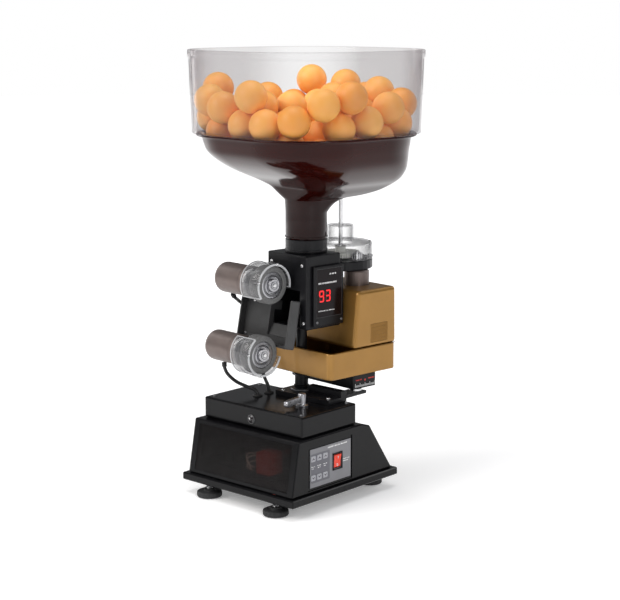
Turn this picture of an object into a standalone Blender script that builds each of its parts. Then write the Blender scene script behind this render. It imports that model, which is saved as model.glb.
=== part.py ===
"""Table-tennis ball machine: a levelled base, a head that sweeps on a pivot, two ball wheels that tilt
together, and a hopper with a geared stirrer.

Sizes are in millimetres, and MM turns them into Blender's metres. +Z is up, the balls leave towards -Y and
the control panel faces +X. The world's origin is on the floor, under the centre of the hopper.
Three frames are used: the base (its own centre on the floor), the turret (on the sweep pivot, turned a
little to one side) and the head (on the tilt pins, tipped back so that the balls leave upwards).
"""

import math

import bmesh
import bpy
from mathutils import Matrix, Vector

MM = 0.001
GAP = 0.3                       # clearance between neighbouring pieces

# --- frames -----------------------------------------------------------------------------------------
BASE_AT = (-0.8, -29.2)         # centre of the base from the hopper's axis
PIVOT_IN_BASE = (0.0, 21.0)     # sweep pivot, from the centre of the base
SWEEP_REST = -5.6               # degrees that the turret is turned at rest
NECK_Y = 8.2                    # hopper axis behind the pivot
TILT_AT = (-16.0, 236.0)        # tilt pins: Y in the turret, and height
TILT_REST = 11.0                # degrees that the head is tipped back at rest

# --- base -------------------------------------------------------------------------------------------
PLATE_SIZE = (189.5, 199.2)
PLATE_Z = (16.7, 26.2)
BODY_HALF = 89.0
BODY_WALL = 3.0
BODY_SIDE = [(-94.2, 26.5), (-81.5, 94.5), (35.5, 94.5), (50.0, 90.0), (94.1, 26.5)]   # (y, z) outline
DECK_HALF = 82.9
DECK_Y = (-70.3, 30.4)
DECK_Z = (94.8, 121.3)
DECK_WALL = 2.5
FOOT_AT = (57.0, 89.0)
FOOT_RADIUS = 16.0
STUD_RADIUS = 4.0
PANEL_Y = (-62.0, 13.0)
PANEL_Z = (33.0, 81.0)
PANEL_DEEP = 1.1
KEY_Y = (-57.0, -46.0, -35.0)
KEY_Z = (69.0, 45.0)
KEY_SIZE = (8.0, 7.0)
ROCKER_AT = (-12.2, 57.5)
ROCKER_SIZE = (13.0, 16.0)
ROCKER_PIVOT_X = 86.0
GROMMETS = [(-34.0, -24.4), (-34.0, -3.6), (-33.0, 19.2)]
LEVER_AT = (42.5, -25.0)
RECEIVER_AT = (-1.0, 105.6)
JACK_AT = (30.0, 78.0)

# --- turret -----------------------------------------------------------------------------------------
PIVOT_RADIUS = 4.5
TRAY_HALF = 64.0
TRAY_Y = (-10.3, 105.5)
TRAY_Z = (150.0, 183.5)
TRAY_WALL = 2.2
COVER_TOP = 257.0
SLAB_X = (-53.0, 64.0)
SLAB_Y = (30.0, 70.0)
SLAB_Z = (133.0, 149.7)
CRANK_AT = (57.0, 40.0)
CRANK_PIN = 5.0                 # throw of the crank pin
CRANK_RATIO = 4.5               # crank turn for each turn of the turret
CRANK_REST = SWEEP_REST * CRANK_RATIO
BLOCK_HALF = 37.0
BLOCK_Y = (-24.3, 33.2)
BLOCK_Z = (212.0, 304.0)
CHANNEL_RADIUS = 23.5
MOUTH_HALF = 23.8
MOUTH_Z = (214.6, 260.0)
DISPLAY_Y = (-16.0, 33.8)
DISPLAY_Z = (215.0, 291.0)
NECK_RADIUS = 26.3
NECK_BORE = 23.5
STIRRER_AT = (-10.0, 77.0)
CASE_RADIUS = 41.5
CASE_Z = (276.0, 288.0)
CASE_TOP = 309.0
SLEEVE_TOP = 331.0
GEAR_TEETH = 48
PINION_TEETH = 12
TOOTH_MODULE = 1.0
GEAR_MESH = 30.3                # distance between the two gear shafts

# --- hopper: (height, half width, reach to the front and to the back, front and back corner radius, lift inside)
FLANGE_Z = (450.0, 453.0)
FLANGE = (124.4, 94.0)
BOWL_RINGS = [
    (450.0, 118.0, 118.0, 118.0, 88.0, 88.0, 2.8),
    (440.0, 115.8, 115.5, 117.7, 87.0, 87.0, 2.8),
    (430.0, 112.0, 111.0, 117.5, 84.0, 84.0, 2.8),
    (418.0, 105.0, 94.5, 117.3, 74.0, 74.0, 2.8),
    (406.0, 91.0, 70.0, 116.8, 54.0, 54.0, 2.8),
    (394.0, 73.0, 41.0, 116.0, 36.0, 38.0, 2.8),
    (385.0, 54.0, 27.5, 111.5, 27.5, 24.0, 2.8),
    (377.0, 40.0, 27.2, 102.0, 27.2, 22.0, 2.8),
    (372.6, 32.0, 27.0, 84.0, 27.0, 22.0, 2.8),
    (370.2, 28.0, 26.8, 57.0, 26.8, 24.0, 2.6),
    (366.0, 27.0, 26.7, 42.0, 26.7, 25.0, 1.8),
    (361.0, 26.6, 26.5, 33.5, 26.5, 25.5, 1.0),
]
BOWL_WALL = 2.8
NECK_Z = (321.3, 354.0)
COLLAR_Z = (453.3, 555.0)
COLLAR_HALF = (128.0, 130.8)
COLLAR_CORNER = 94.0
COLLAR_WALL = 2.4

# --- head -------------------------------------------------------------------------------------------
WHEEL_Y = -45.6
WHEEL_Z = (25.0, -62.0)         # upper and lower axle, from the tilt pins
WHEEL_RADIUS = 24.0
WHEEL_HALF = 9.0
MOTOR_RADIUS = 19.5
MOTOR_X = (-85.0, -24.8)
AXLE_RADIUS = 2.5
SHELL_X = (-71.0, 24.2)
SHELL_FLARE = 4.0
SHELL_Y = (-24.0, -12.5)
SHELL_Z = (-51.6, 9.4)
NOTCH_LOW = -39.0               # lower edge of the ball's way through the shell
RAMP_TOP = -23.6
GUARD_RADIUS = (25.6, 27.2)
GUARD_X = (-21.2, 12.3)
GUARD_ARC = 225
TRUNNION_X = (21.4, 30.0)
TRUNNION_RADIUS = 2.0
BRACKET_X = (-24.4, -21.9)
LEAD_RADIUS = 2.2


# --- materials --------------------------------------------------------------------------------------
def material(name, colour, roughness, metallic=0.0, transmission=0.0):
    made = bpy.data.materials.new(name)
    made.use_nodes = True
    shader = made.node_tree.nodes["Principled BSDF"]
    shader.inputs["Base Color"].default_value = (*colour, 1.0)
    shader.inputs["Roughness"].default_value = roughness
    shader.inputs["Metallic"].default_value = metallic
    shader.inputs["Transmission Weight"].default_value = transmission
    return made


# --- small mesh tools ---------------------------------------------------------------------------------
def box(x, y, z):
    """A box between two values on each axis."""
    mesh = bmesh.new()
    bmesh.ops.create_cube(mesh, size=1.0)
    size = Matrix.Diagonal((x[1] - x[0], y[1] - y[0], z[1] - z[0], 1.0))
    middle = Matrix.Translation((sum(x) / 2, sum(y) / 2, sum(z) / 2))
    bmesh.ops.transform(mesh, matrix=middle @ size, verts=mesh.verts)
    return mesh


def grid_faces(mesh, rings, closed):
    """Faces between rings of vertices, where a ring of one vertex is a point on the axis."""
    pairs = list(zip(rings, rings[1:]))
    if closed:
        pairs.append((rings[-1], rings[0]))
    for low, high in pairs:
        count = max(len(low), len(high))
        for i in range(count):
            j = (i + 1) % count
            corners = [low[i % len(low)], low[j % len(low)], high[j % len(high)], high[i % len(high)]]
            mesh.faces.new(list(dict.fromkeys(corners)))


def turned(profile, segments=32, ring=False):
    """A profile of (radius, height) turned round Z; ring=True closes it round a bore."""
    mesh = bmesh.new()
    rings = []
    for radius, height in profile:
        if radius == 0:
            rings.append([mesh.verts.new((0, 0, height))])
            continue
        turns = [2 * math.pi * i / segments for i in range(segments)]
        rings.append([mesh.verts.new((radius * math.cos(t), radius * math.sin(t), height)) for t in turns])
    grid_faces(mesh, rings, ring)
    return mesh


def tube(outer, inner, low, high, segments=32, chamfer=0.0):
    c = chamfer
    if c:
        profile = [(inner, low), (outer - c, low), (outer, low + c), (outer, high - c), (outer - c, high), (inner, high)]
    else:
        profile = [(inner, low), (outer, low), (outer, high), (inner, high)]
    return turned(profile, segments, ring=True)


def rod(radius, low, high, segments=24, chamfer=0.0):
    c = chamfer
    if c:
        profile = [(0, low), (radius - c, low), (radius, low + c), (radius, high - c), (radius - c, high), (0, high)]
    else:
        profile = [(0, low), (radius, low), (radius, high), (0, high)]
    return turned(profile, segments)


def prism(outline, x):
    """An outline of (y, z) points pushed along X."""
    mesh = bmesh.new()
    ends = [[mesh.verts.new((side, y, z)) for y, z in outline] for side in x]
    count = len(outline)
    for i in range(count):
        j = (i + 1) % count
        mesh.faces.new([ends[0][i], ends[0][j], ends[1][j], ends[1][i]])
    mesh.faces.new(ends[0])
    mesh.faces.new(ends[1])
    return mesh


def rounded_outline(half, front, back, near, far, steps):
    """Points round a rectangle with round corners (near ones in front), anticlockwise from the front right."""
    points = []
    corners = [(half - near, near - front, near, -90), (half - far, back - far, far, 0),
               (far - half, back - far, far, 90), (near - half, near - front, near, 180)]
    for x, y, corner, start in corners:
        for i in range(steps + 1):
            t = math.radians(start + 90 * i / steps)
            points.append((x + corner * math.cos(t), y + corner * math.sin(t)))
    return points


def lofted(levels, closed=False, caps=True):
    """Skins a list of (outline, height); the last and first are capped unless it closes on itself."""
    mesh = bmesh.new()
    rings = [[mesh.verts.new((x, y, height)) for x, y in outline] for outline, height in levels]
    grid_faces(mesh, rings, closed)
    if caps and not closed:
        mesh.faces.new(rings[0])
        mesh.faces.new(rings[-1])
    return mesh


def rounded_block(x, y, z, corner, steps=4):
    """A box whose upright edges are round."""
    deep = (y[1] - y[0]) / 2
    outline = rounded_outline((x[1] - x[0]) / 2, deep, deep, corner, corner, steps)
    middle = (sum(x) / 2, sum(y) / 2)
    moved = [(px + middle[0], py + middle[1]) for px, py in outline]
    return lofted([(moved, z[0]), (moved, z[1])])


def placed(mesh, at=(0, 0, 0), turn=0.0, axis="Z"):
    """The mesh turned by some degrees about an axis through its origin, then moved."""
    matrix = Matrix.Translation(at) @ Matrix.Rotation(math.radians(turn), 4, axis)
    bmesh.ops.transform(mesh, matrix=matrix, verts=mesh.verts)
    return mesh


def along_x(mesh, at=(0, 0, 0)):
    """Something turned round Z laid along X, its top towards +X."""
    return placed(placed(mesh, turn=90, axis="Y"), at)


def body(name, mesh, look, frame, at=(0, 0, 0), smooth=40):
    """One piece: its mesh in millimetres from the point at, in its frame."""
    bmesh.ops.recalc_face_normals(mesh, faces=mesh.faces)
    bmesh.ops.scale(mesh, vec=(MM, MM, MM), verts=mesh.verts)
    data = bpy.data.meshes.new(name)
    mesh.to_mesh(data)
    mesh.free()
    data.shade_smooth()
    data.set_sharp_from_angle(angle=math.radians(smooth))
    made = bpy.data.objects.new(name, data)
    if look:
        data.materials.append(look)
    bpy.context.scene.collection.objects.link(made)
    made.parent = frame
    made.location = Vector(at) * MM
    return made


def helper(name, mesh, frame, at=(0, 0, 0)):
    made = body(name, mesh, None, frame, at)
    made.hide_render = True
    made.display_type = "WIRE"
    return made


def combine(target, operation, mesh, frame, at=(0, 0, 0)):
    """Cuts the mesh from the target, or joins it on."""
    tool = helper(f"{target.name}_{operation.lower()}_{len(target.modifiers)}", mesh, frame, at)
    modifier = target.modifiers.new(operation.title(), "BOOLEAN")
    modifier.operation = operation
    modifier.solver = "EXACT"
    modifier.object = tool


def cut(target, mesh, frame, at=(0, 0, 0)):
    combine(target, "DIFFERENCE", mesh, frame, at)


def join(target, mesh, frame, at=(0, 0, 0)):
    combine(target, "UNION", mesh, frame, at)


def rounded_edges(target, width, segments=2, angle=50):
    modifier = target.modifiers.new("Edges", "BEVEL")
    modifier.width = width * MM
    modifier.segments = segments
    modifier.limit_method = "ANGLE"
    modifier.angle_limit = math.radians(angle)


def frame_at(name, parent, at, turn=0.0, axis="Z"):
    made = bpy.data.objects.new(name, None)
    bpy.context.scene.collection.objects.link(made)
    made.parent = parent
    made.location = Vector(at) * MM
    made.rotation_euler["XYZ".index(axis)] = math.radians(turn)
    return made


# --- base ---------------------------------------------------------------------------------------------
def on_line(a, b, z):
    """The y of the line through two (y, z) points at a height."""
    return a[0] + (b[0] - a[0]) * (z - a[1]) / (b[1] - a[1])


def inset_side(wall):
    """The body's outline in (y, z), drawn in by the wall and left open at the bottom."""
    front = [on_line(BODY_SIDE[0], BODY_SIDE[1], z) + wall for z in (20.0, BODY_SIDE[1][1] - wall)]
    back = [on_line(BODY_SIDE[4], BODY_SIDE[3], z) - wall * 1.25 for z in (BODY_SIDE[3][1] - wall * 1.4, 20.0)]
    top = BODY_SIDE[1][1] - wall
    return [(front[0], 20.0), (front[1], top), (BODY_SIDE[2][0] - wall * 0.3, top),
            (back[0], BODY_SIDE[3][1] - wall * 1.4), (back[1], 20.0)]


def window_slab(half, z, depth):
    """A slab that lies in the sloping front, between two heights and two depths behind its face."""
    low, high = (on_line(BODY_SIDE[0], BODY_SIDE[1], height) for height in z)
    return prism([(low + depth[0], z[0]), (high + depth[0], z[1]), (high + depth[1], z[1]), (low + depth[1], z[0])],
                 (-half, half))


def make_base(base, looks):
    plate = body("base_plate", box((-PLATE_SIZE[0] / 2, PLATE_SIZE[0] / 2), (-PLATE_SIZE[1] / 2, PLATE_SIZE[1] / 2),
                                   PLATE_Z), looks["black_plastic"], base)
    rounded_edges(plate, 1.2, 1)
    for side in (-1, 1):
        for end in (-1, 1):
            hole = rod(STUD_RADIUS + 0.4, PLATE_Z[0] - 5, PLATE_Z[1] + 5, 20)
            cut(plate, hole, base, (side * FOOT_AT[0], end * FOOT_AT[1], 0))

    shell = body("lower_body", prism(BODY_SIDE, (-BODY_HALF, BODY_HALF)), looks["black_plastic"], base)
    rounded_edges(shell, 1.5, 2, 30)
    inner = BODY_HALF - BODY_WALL
    cut(shell, prism(inset_side(BODY_WALL), (-inner, inner)), base)
    cut(shell, box((-76, 76), (-64, 24), (80, 100)), base)
    cut(shell, window_slab(79.0, (32.0, 89.0), (-6.0, 1.4)), base)
    cut(shell, window_slab(74.0, (37.0, 84.0), (-8.0, 8.0)), base)
    recess = box((BODY_HALF - PANEL_DEEP, BODY_HALF + 5), (PANEL_Y[0] - 4, PANEL_Y[1] + 3), (PANEL_Z[0] - 3.5, PANEL_Z[1] + 4))
    cut(shell, recess, base)
    cut(shell, box((80, 95), (KEY_Y[0] - 5, KEY_Y[2] + 5), (KEY_Z[1] - 5, KEY_Z[0] + 5)), base)
    cut(shell, box((80, 95), (ROCKER_AT[0] - 8, ROCKER_AT[0] + 8), (ROCKER_AT[1] - 9.5, ROCKER_AT[1] + 9.5)), base)
    slope = math.degrees(math.atan2(BODY_SIDE[4][0] - BODY_SIDE[3][0], BODY_SIDE[3][1] - BODY_SIDE[4][1]))
    jack_z = BODY_SIDE[3][1] - (JACK_AT[1] - BODY_SIDE[3][0]) / math.tan(math.radians(slope))
    jack_frame = frame_at("jack_frame", base, (JACK_AT[0], JACK_AT[1], jack_z), slope - 90, "X")
    cut(shell, rod(4.6, -12, 12, 20), jack_frame)

    body("front_window", window_slab(78.6, (32.4, 88.6), (0.4, 1.1)), looks["smoked_window"], base)
    jack = [(0, -9.0), (2.7, -9.0), (2.7, 2.0), (6.4, 2.0), (7.0, 1.4), (7.0, 0.4), (4.1, 0.4), (4.1, -11.0), (0, -11.0)]
    body("power_jack", turned(jack, 24), looks["grey_plastic"], jack_frame)

    panel = body("control_panel", box((BODY_HALF - PANEL_DEEP + GAP, BODY_HALF + 0.1), PANEL_Y, PANEL_Z),
                 looks["panel_grey"], base)
    for z in KEY_Z:
        for y in KEY_Y:
            hole = box((80, 95), (y - KEY_SIZE[0] / 2 - GAP, y + KEY_SIZE[0] / 2 + GAP),
                       (z - KEY_SIZE[1] / 2 - GAP, z + KEY_SIZE[1] / 2 + GAP))
            cut(panel, hole, base)
    cut(panel, box((80, 95), (ROCKER_AT[0] - 7.2, ROCKER_AT[0] + 7.2), (ROCKER_AT[1] - 8.9, ROCKER_AT[1] + 8.9)), base)

    for row, z in zip(("up", "down"), KEY_Z):
        for number, y in enumerate(KEY_Y, 1):
            key = body(f"key_{row}_{number}",
                       box((-4.0, 0.9), (-KEY_SIZE[0] / 2, KEY_SIZE[0] / 2), (-KEY_SIZE[1] / 2, KEY_SIZE[1] / 2)),
                       looks["panel_grey"], base, (BODY_HALF, y, z))
            rounded_edges(key, 0.5, 1)
    front = ROCKER_SIZE[1] / 2
    rocker = prism_xz([(-3.0, -front + 2), (-3.0, front - 2), (3.2, front), (4.6, front), (3.4, 0), (3.0, -front),
                       (1.6, -front)], (-ROCKER_SIZE[0] / 2, ROCKER_SIZE[0] / 2))
    body("power_rocker", rocker, looks["red_plastic"], base, (ROCKER_PIVOT_X, ROCKER_AT[0], ROCKER_AT[1]))

    foot = [(0, 0), (FOOT_RADIUS - 1.5, 0), (FOOT_RADIUS, 1.5), (FOOT_RADIUS, 5.5), (FOOT_RADIUS - 1.5, 7.0), (7.0, 8.0),
            (STUD_RADIUS, 8.0), (STUD_RADIUS, PLATE_Z[1]), (0, PLATE_Z[1])]
    for end, y in (("front", -FOOT_AT[1]), ("rear", FOOT_AT[1])):
        for side, x in (("left", -FOOT_AT[0]), ("right", FOOT_AT[0])):
            body(f"foot_{end}_{side}", turned(foot, 20), looks["rubber"], base, (x, y, 0))

    deck = body("top_cover", box((-DECK_HALF, DECK_HALF), DECK_Y, DECK_Z), looks["black_plastic"], base)
    rounded_edges(deck, 2.0, 2)
    hollow = DECK_HALF - DECK_WALL
    cut(deck, box((-hollow, hollow), (DECK_Y[0] + DECK_WALL, DECK_Y[1] - DECK_WALL), (80, DECK_Z[1] - DECK_WALL)), base)
    for x, y in GROMMETS:
        cut(deck, rod(4.5, 100, 130, 20), base, (x, y, 0))
    cut(deck, rod(3.5, 100, 130, 20), base, (*LEVER_AT, 0))
    cut(deck, placed(rod(3.8, -8, 8, 20), turn=90, axis="X"), base, (RECEIVER_AT[0], DECK_Y[0], RECEIVER_AT[1]))
    grommet = [(2.7, -4.5), (4.1, -4.5), (4.1, GAP), (6.2, GAP), (6.2, 1.2), (5.2, 2.0), (2.7, 2.0)]
    for number, (x, y) in enumerate(GROMMETS, 1):
        body(f"cable_grommet_{number}", turned(grommet, 16, ring=True), looks["rubber"], base, (x, y, DECK_Z[1]))
    body("remote_receiver", placed(turned([(0, -6.0), (3.4, -6.0), (3.4, GAP), (4.6, GAP), (4.6, 0.9), (3.8, 1.3),
                                           (3.0, 1.1), (1.8, 2.2), (0, 2.6)], 20), turn=90, axis="X"),
         looks["lamp_dome"], base, (RECEIVER_AT[0], DECK_Y[0], RECEIVER_AT[1]))

    core = body("transformer_core", box((-2, 44), (-62, -40), (30, 72)), looks["steel"], base)
    cut(core, box((9, 33), (-80, -20), (39.6, 66.4)), base)
    body("transformer_coil", box((9.5, 32.5), (-73, -29), (40.0, 66.0)), looks["coil_red"], base)
    board = body("power_board", box((-72, -14), (-60, 40), (32.0, 33.6)), looks["board_green"], base)
    join(board, box((-66, -52), (-50, -30), (33.0, 52.0)), base)
    join(board, rod(7.5, 33.0, 56.0, 18), base, (-30, -20, 0))


def prism_xz(outline, y):
    """An outline of (x, z) points pushed along Y."""
    mesh = prism([(x, z) for x, z in outline], y)
    for vert in mesh.verts:
        vert.co = (vert.co.y, vert.co.x, vert.co.z)
    return mesh


def make_pivot(base, looks):
    """What the turret turns on, and the lever that locks it."""
    low = DECK_Z[1] + GAP
    plate = body("turntable_plate", box((-22, 68), (-4, 29.4), (low, low + 6)), looks["satin_black"], base)
    join(plate, box((12, 68), (19, 29.4), (low + 3, 135)), base)
    join(plate, rod(8.4, low + 3, 131, 28), base, (*PIVOT_IN_BASE, 0))
    join(plate, box((47, 68), (27, 68), (125.0, 128.5)), base)
    cut(plate, rod(PIVOT_RADIUS + GAP, 100, 150, 24), base, (*PIVOT_IN_BASE, 0))
    slot = box((-7.5, 7.5), (-CRANK_PIN / 2 - 1, CRANK_PIN / 2 + 1), (-6, 6))
    cut(plate, slot, base, (57.5, 57.5, 127))
    body("pivot_shaft", turned([(0, low + 0.2), (PIVOT_RADIUS, low + 0.2), (PIVOT_RADIUS, 144.5), (6.8, 144.5),
                                (6.8, TRAY_Z[0] - GAP), (PIVOT_RADIUS, TRAY_Z[0] - GAP), (PIVOT_RADIUS, 200), (0, 200)], 24),
         looks["steel"], base, (*PIVOT_IN_BASE, 0))
    lever = [(0, -9.0), (3.0, -9.0), (3.0, GAP), (8.0, GAP), (8.0, 2.0), (5.4, 2.6), (5.0, 4.0), (5.0, 14.5),
             (4.0, 16.0), (0, 16.5)]
    handle = body("clamp_lever", turned(lever, 24), looks["bright_metal"], base, (*LEVER_AT, DECK_Z[1]))
    arm = prism([(1.0, 13.0), (-30.0, 12.0), (-31.0, 11.0), (-31.0, 3.0), (-30.0, 2.4), (-20.0, 3.4), (1.0, 5.5)], (-2.6, 2.6))
    join(handle, arm, base, (*LEVER_AT, DECK_Z[1]))


# --- turret -------------------------------------------------------------------------------------------
def make_housing(turret, looks):
    """The gold tray with its rear cover, and the sweep gearbox under it."""
    body("pivot_bushing", tube(7.0, PIVOT_RADIUS + GAP, TRAY_Z[0] + 0.2, BLOCK_Z[0] - 0.5, 24, 0.8), looks["satin_black"], turret)
    tray = body("lower_tray", rounded_block((-TRAY_HALF, TRAY_HALF), TRAY_Y, TRAY_Z, 7.0), looks["gold"], turret)
    rounded_edges(tray, 1.0, 2, 60)
    wall = TRAY_WALL
    cut(tray, rounded_block((-TRAY_HALF + wall, TRAY_HALF - wall), (TRAY_Y[0] + wall, TRAY_Y[1] - wall),
                            (TRAY_Z[0] + 3, TRAY_Z[1] + 5), 5.0), turret)
    cut(tray, rod(7.3, 140, 170, 24), turret)

    top, low = COVER_TOP, TRAY_Z[1] + GAP
    outer = [(31.0, low), (38.6, top), (TRAY_Y[1] - 1.0, top), (TRAY_Y[1], low)]
    cover = body("rear_cover", prism(outer, (-TRAY_HALF, TRAY_HALF)), looks["gold"], turret)
    rounded_edges(cover, 4.5, 3, 50)
    hollow = [(33.6, low - 9), (41.9, top - 3), (TRAY_Y[1] - 3.8, top - 3), (TRAY_Y[1] - 2.8, low - 9)]
    cut(cover, prism(hollow, (-TRAY_HALF + 2.8, TRAY_HALF - 2.8)), turret)
    cut(cover, box((-70, 70), (20, 110), (low - 12, low + 1.2)), turret)
    cut(cover, rod(16.8, 240, 270, 28), turret, (STIRRER_AT[0] + GEAR_MESH, STIRRER_AT[1], 0))
    cut(cover, box((TRAY_HALF - 1.0, TRAY_HALF + 4), (59.6, 89.4), (189, 213)), turret)
    vent = body("side_vent", box((TRAY_HALF - 0.7, TRAY_HALF - 0.1), (60.0, 89.0), (189.4, 212.6)), looks["gold_dark"], turret)
    for row in range(4):
        z = 193.0 + row * 5.0
        cut(vent, box((TRAY_HALF - 0.4, TRAY_HALF + 2), (63.0, 86.0), (z, z + 2.2)), turret)

    slab = body("sweep_gearbox", rounded_block(SLAB_X, SLAB_Y, SLAB_Z, 3.0, 3), looks["satin_black"], turret)
    cut(slab, rod(3.4, SLAB_Z[0] - 4, SLAB_Z[0] + 9, 20), turret, (*CRANK_AT, 0))
    crank = body("sweep_crank", turned([(0, -2.8), (8.0, -2.8), (8.0, -0.5), (3.0, -0.5), (3.0, 8.0), (0, 8.0)], 24),
                 looks["steel"], turret, (*CRANK_AT, SLAB_Z[0]))
    throw = math.radians(CRANK_REST)
    pin_at = (CRANK_AT[0] - CRANK_PIN * math.sin(throw), CRANK_AT[1] + CRANK_PIN * math.cos(throw), SLAB_Z[0])
    join(crank, rod(2.0, -4.0, -1.5, 16), turret, pin_at)


def make_block(turret, looks):
    """The ball channel under the neck, with the display on its side."""
    block = body("head_block", rounded_block((-BLOCK_HALF, BLOCK_HALF), BLOCK_Y, BLOCK_Z, 2.5, 3), looks["satin_black"], turret)
    rounded_edges(block, 1.0, 1, 60)
    cut(block, rod(CHANNEL_RADIUS, MOUTH_Z[0], BLOCK_Z[1] + 5, 36), turret, (0, NECK_Y, 0))
    cut(block, box((-MOUTH_HALF, MOUTH_HALF), (BLOCK_Y[0] - 5, NECK_Y), MOUTH_Z), turret)
    pin = along_x(rod(TRUNNION_RADIUS + 0.4, -TRUNNION_X[1] - 1, TRUNNION_X[1] + 1, 20), (0, TILT_AT[0], TILT_AT[1]))
    cut(block, pin, turret)

    side = BLOCK_HALF + GAP
    housing = body("display_housing", box((side, side + 4.0), DISPLAY_Y, DISPLAY_Z), looks["satin_black"], turret)
    rounded_edges(housing, 1.2, 2)
    cut(housing, box((side + 3.2, side + 8), (DISPLAY_Y[0] + 3, DISPLAY_Y[1] - 3), (DISPLAY_Z[0] + 12, DISPLAY_Z[1] - 4)), turret)
    body("display_window", box((side + 3.5, side + 4.1), (DISPLAY_Y[0] + 3.3, DISPLAY_Y[1] - 3.3),
                               (DISPLAY_Z[0] + 12.3, DISPLAY_Z[1] - 4.3)), looks["display_glass"], turret)
    body("neck_collar", tube(NECK_RADIUS, NECK_BORE, BLOCK_Z[1] + GAP, NECK_Z[0] - GAP, 36, 0.6), looks["satin_black"],
         turret, (0, NECK_Y, 0))


def make_hopper(turret, looks):
    def neck_ring(radius):
        return [(radius * math.cos(math.radians(a)), radius * math.sin(math.radians(a)))
                for start in (-90, 0, 90, 180) for a in [start + 90 * i / 8 for i in range(9)]]

    def section(ring, wall=0.0):
        return rounded_outline(*(size - wall for size in ring[1:6]), 8)

    flange = rounded_outline(*[FLANGE[0]] * 3, *[FLANGE[1]] * 2, 8)
    levels = [(section(BOWL_RINGS[0], BOWL_WALL), FLANGE_Z[1]), (flange, FLANGE_Z[1]), (flange, FLANGE_Z[0])]
    levels += [(section(ring), ring[0]) for ring in BOWL_RINGS]
    levels += [(neck_ring(NECK_RADIUS), NECK_Z[1]), (neck_ring(NECK_RADIUS), NECK_Z[0]), (neck_ring(NECK_BORE), NECK_Z[0]),
               (neck_ring(NECK_BORE), NECK_Z[1])]
    levels += [(section(ring, BOWL_WALL), ring[0] + ring[6]) for ring in reversed(BOWL_RINGS[1:])]
    bowl = body("hopper_bowl", lofted(levels, closed=True), looks["smoked_red"], turret, (0, NECK_Y, 0), 50)
    cut(bowl, rod(3.6, 360, 385, 20), turret, (*STIRRER_AT, 0))

    def collar_ring(half, corner):
        return rounded_outline(half, half, half, corner, corner, 8)

    low, high = COLLAR_Z
    wide, top, wall, corner = COLLAR_HALF[0], COLLAR_HALF[1], COLLAR_WALL, COLLAR_CORNER
    levels = [
        (collar_ring(FLANGE[0] - 6.0, corner - 6.0), low), (collar_ring(wide, corner), low),
        (collar_ring(top, corner), high - 9.0), (collar_ring(top + 1.4, corner + 1.4), high - 8.0),
        (collar_ring(top + 1.4, corner + 1.4), high), (collar_ring(top - wall, corner - wall), high),
        (collar_ring(wide - wall, corner - wall), low + 2.2), (collar_ring(FLANGE[0] - 6.0, corner - 6.0), low + 2.2),
    ]
    body("hopper_collar", lofted(levels, closed=True), looks["clear_plastic"], turret, (0, NECK_Y, 0), 50)


def gear(teeth, bore, low, high, offset):
    """A spur gear with straight-sided teeth, its first tooth turned by offset degrees."""
    pitch = teeth * TOOTH_MODULE / 2
    tip, root = pitch + 0.95 * TOOTH_MODULE, pitch - 1.15 * TOOTH_MODULE
    step = 2 * math.pi / teeth
    points = []
    for tooth in range(teeth):
        middle = tooth * step + math.radians(offset)
        for radius, share in ((root, -0.30), (tip, -0.13), (tip, 0.13), (root, 0.30)):
            angle = middle + share * step
            points.append((radius, angle))
    mesh = bmesh.new()
    rings = []
    for height, inside in ((low, True), (low, False), (high, False), (high, True)):
        rings.append([mesh.verts.new(((bore if inside else r) * math.cos(a), (bore if inside else r) * math.sin(a), height))
                      for r, a in points])
    grid_faces(mesh, rings, True)
    return mesh


def make_stirrer(turret, looks):
    """The gear case behind the neck, and the shaft that stirs the balls."""
    x, y = STIRRER_AT
    case = body("gear_case_base", rod(CASE_RADIUS, CASE_Z[0], CASE_Z[1] - GAP, 32, 0.8), looks["satin_black"], turret, (x, y, 0))
    join(case, box((-30, 22), (BLOCK_Y[1] + GAP, 52), (CASE_Z[0] + 1, CASE_Z[1] - 1.3)), turret)
    cut(case, rod(3.4, 260, 300, 20), turret, (x, y, 0))
    cut(case, rod(2.7, 260, 300, 20), turret, (x + GEAR_MESH, y, 0))
    lid = CASE_TOP
    cover = [(CASE_RADIUS, CASE_Z[1]), (CASE_RADIUS, lid - 1.5), (CASE_RADIUS - 1.5, lid), (17.0, lid), (17.0, SLEEVE_TOP - 1),
             (16.0, SLEEVE_TOP), (3.6, SLEEVE_TOP), (3.6, SLEEVE_TOP - 2), (15.0, SLEEVE_TOP - 2), (15.0, lid - 2),
             (CASE_RADIUS - 2, lid - 2), (CASE_RADIUS - 2, CASE_Z[1])]
    body("gear_case_cover", turned(cover, 32, ring=True), looks["clear_plastic"], turret, (x, y, 0))
    wheel = body("stirrer_gear", gear(GEAR_TEETH, 3.35, 290.0, 296.0, 0), looks["white_plastic"], turret, (x, y, 0))
    join(wheel, tube(7.0, 3.35, 295.0, 304.0, 24), turret, (x, y, 0))
    offset = 180.0 / PINION_TEETH
    pinion = body("drive_pinion", gear(PINION_TEETH, 1.2, 289.6, 297.0, offset), looks["steel"], turret, (x + GEAR_MESH, y, 0))
    join(pinion, rod(1.9, 255, 299, 16), turret, (x + GEAR_MESH, y, 0))

    rotor = body("stirrer_shaft", turned([(0, 281), (3.0, 281), (3.0, 379), (8.0, 379), (8.0, 388), (5.0, 392), (0, 393)], 20),
                 looks["steel"], turret, (x, y, 0))
    for number in range(3):
        finger = placed(along_x(rod(2.2, 4.0, 26.0, 12, 0.8), (0, 0, 384)), turn=120 * number + 30)
        join(rotor, finger, turret, (x, y, 0))
    motor = body("feed_motor", rod(16.0, 202.0, CASE_Z[0] - GAP, 28, 1.5), looks["motor_can"], turret, (x + GEAR_MESH, y, 0))
    cut(motor, rod(2.4, 250, 290, 20), turret, (x + GEAR_MESH, y, 0))


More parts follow.
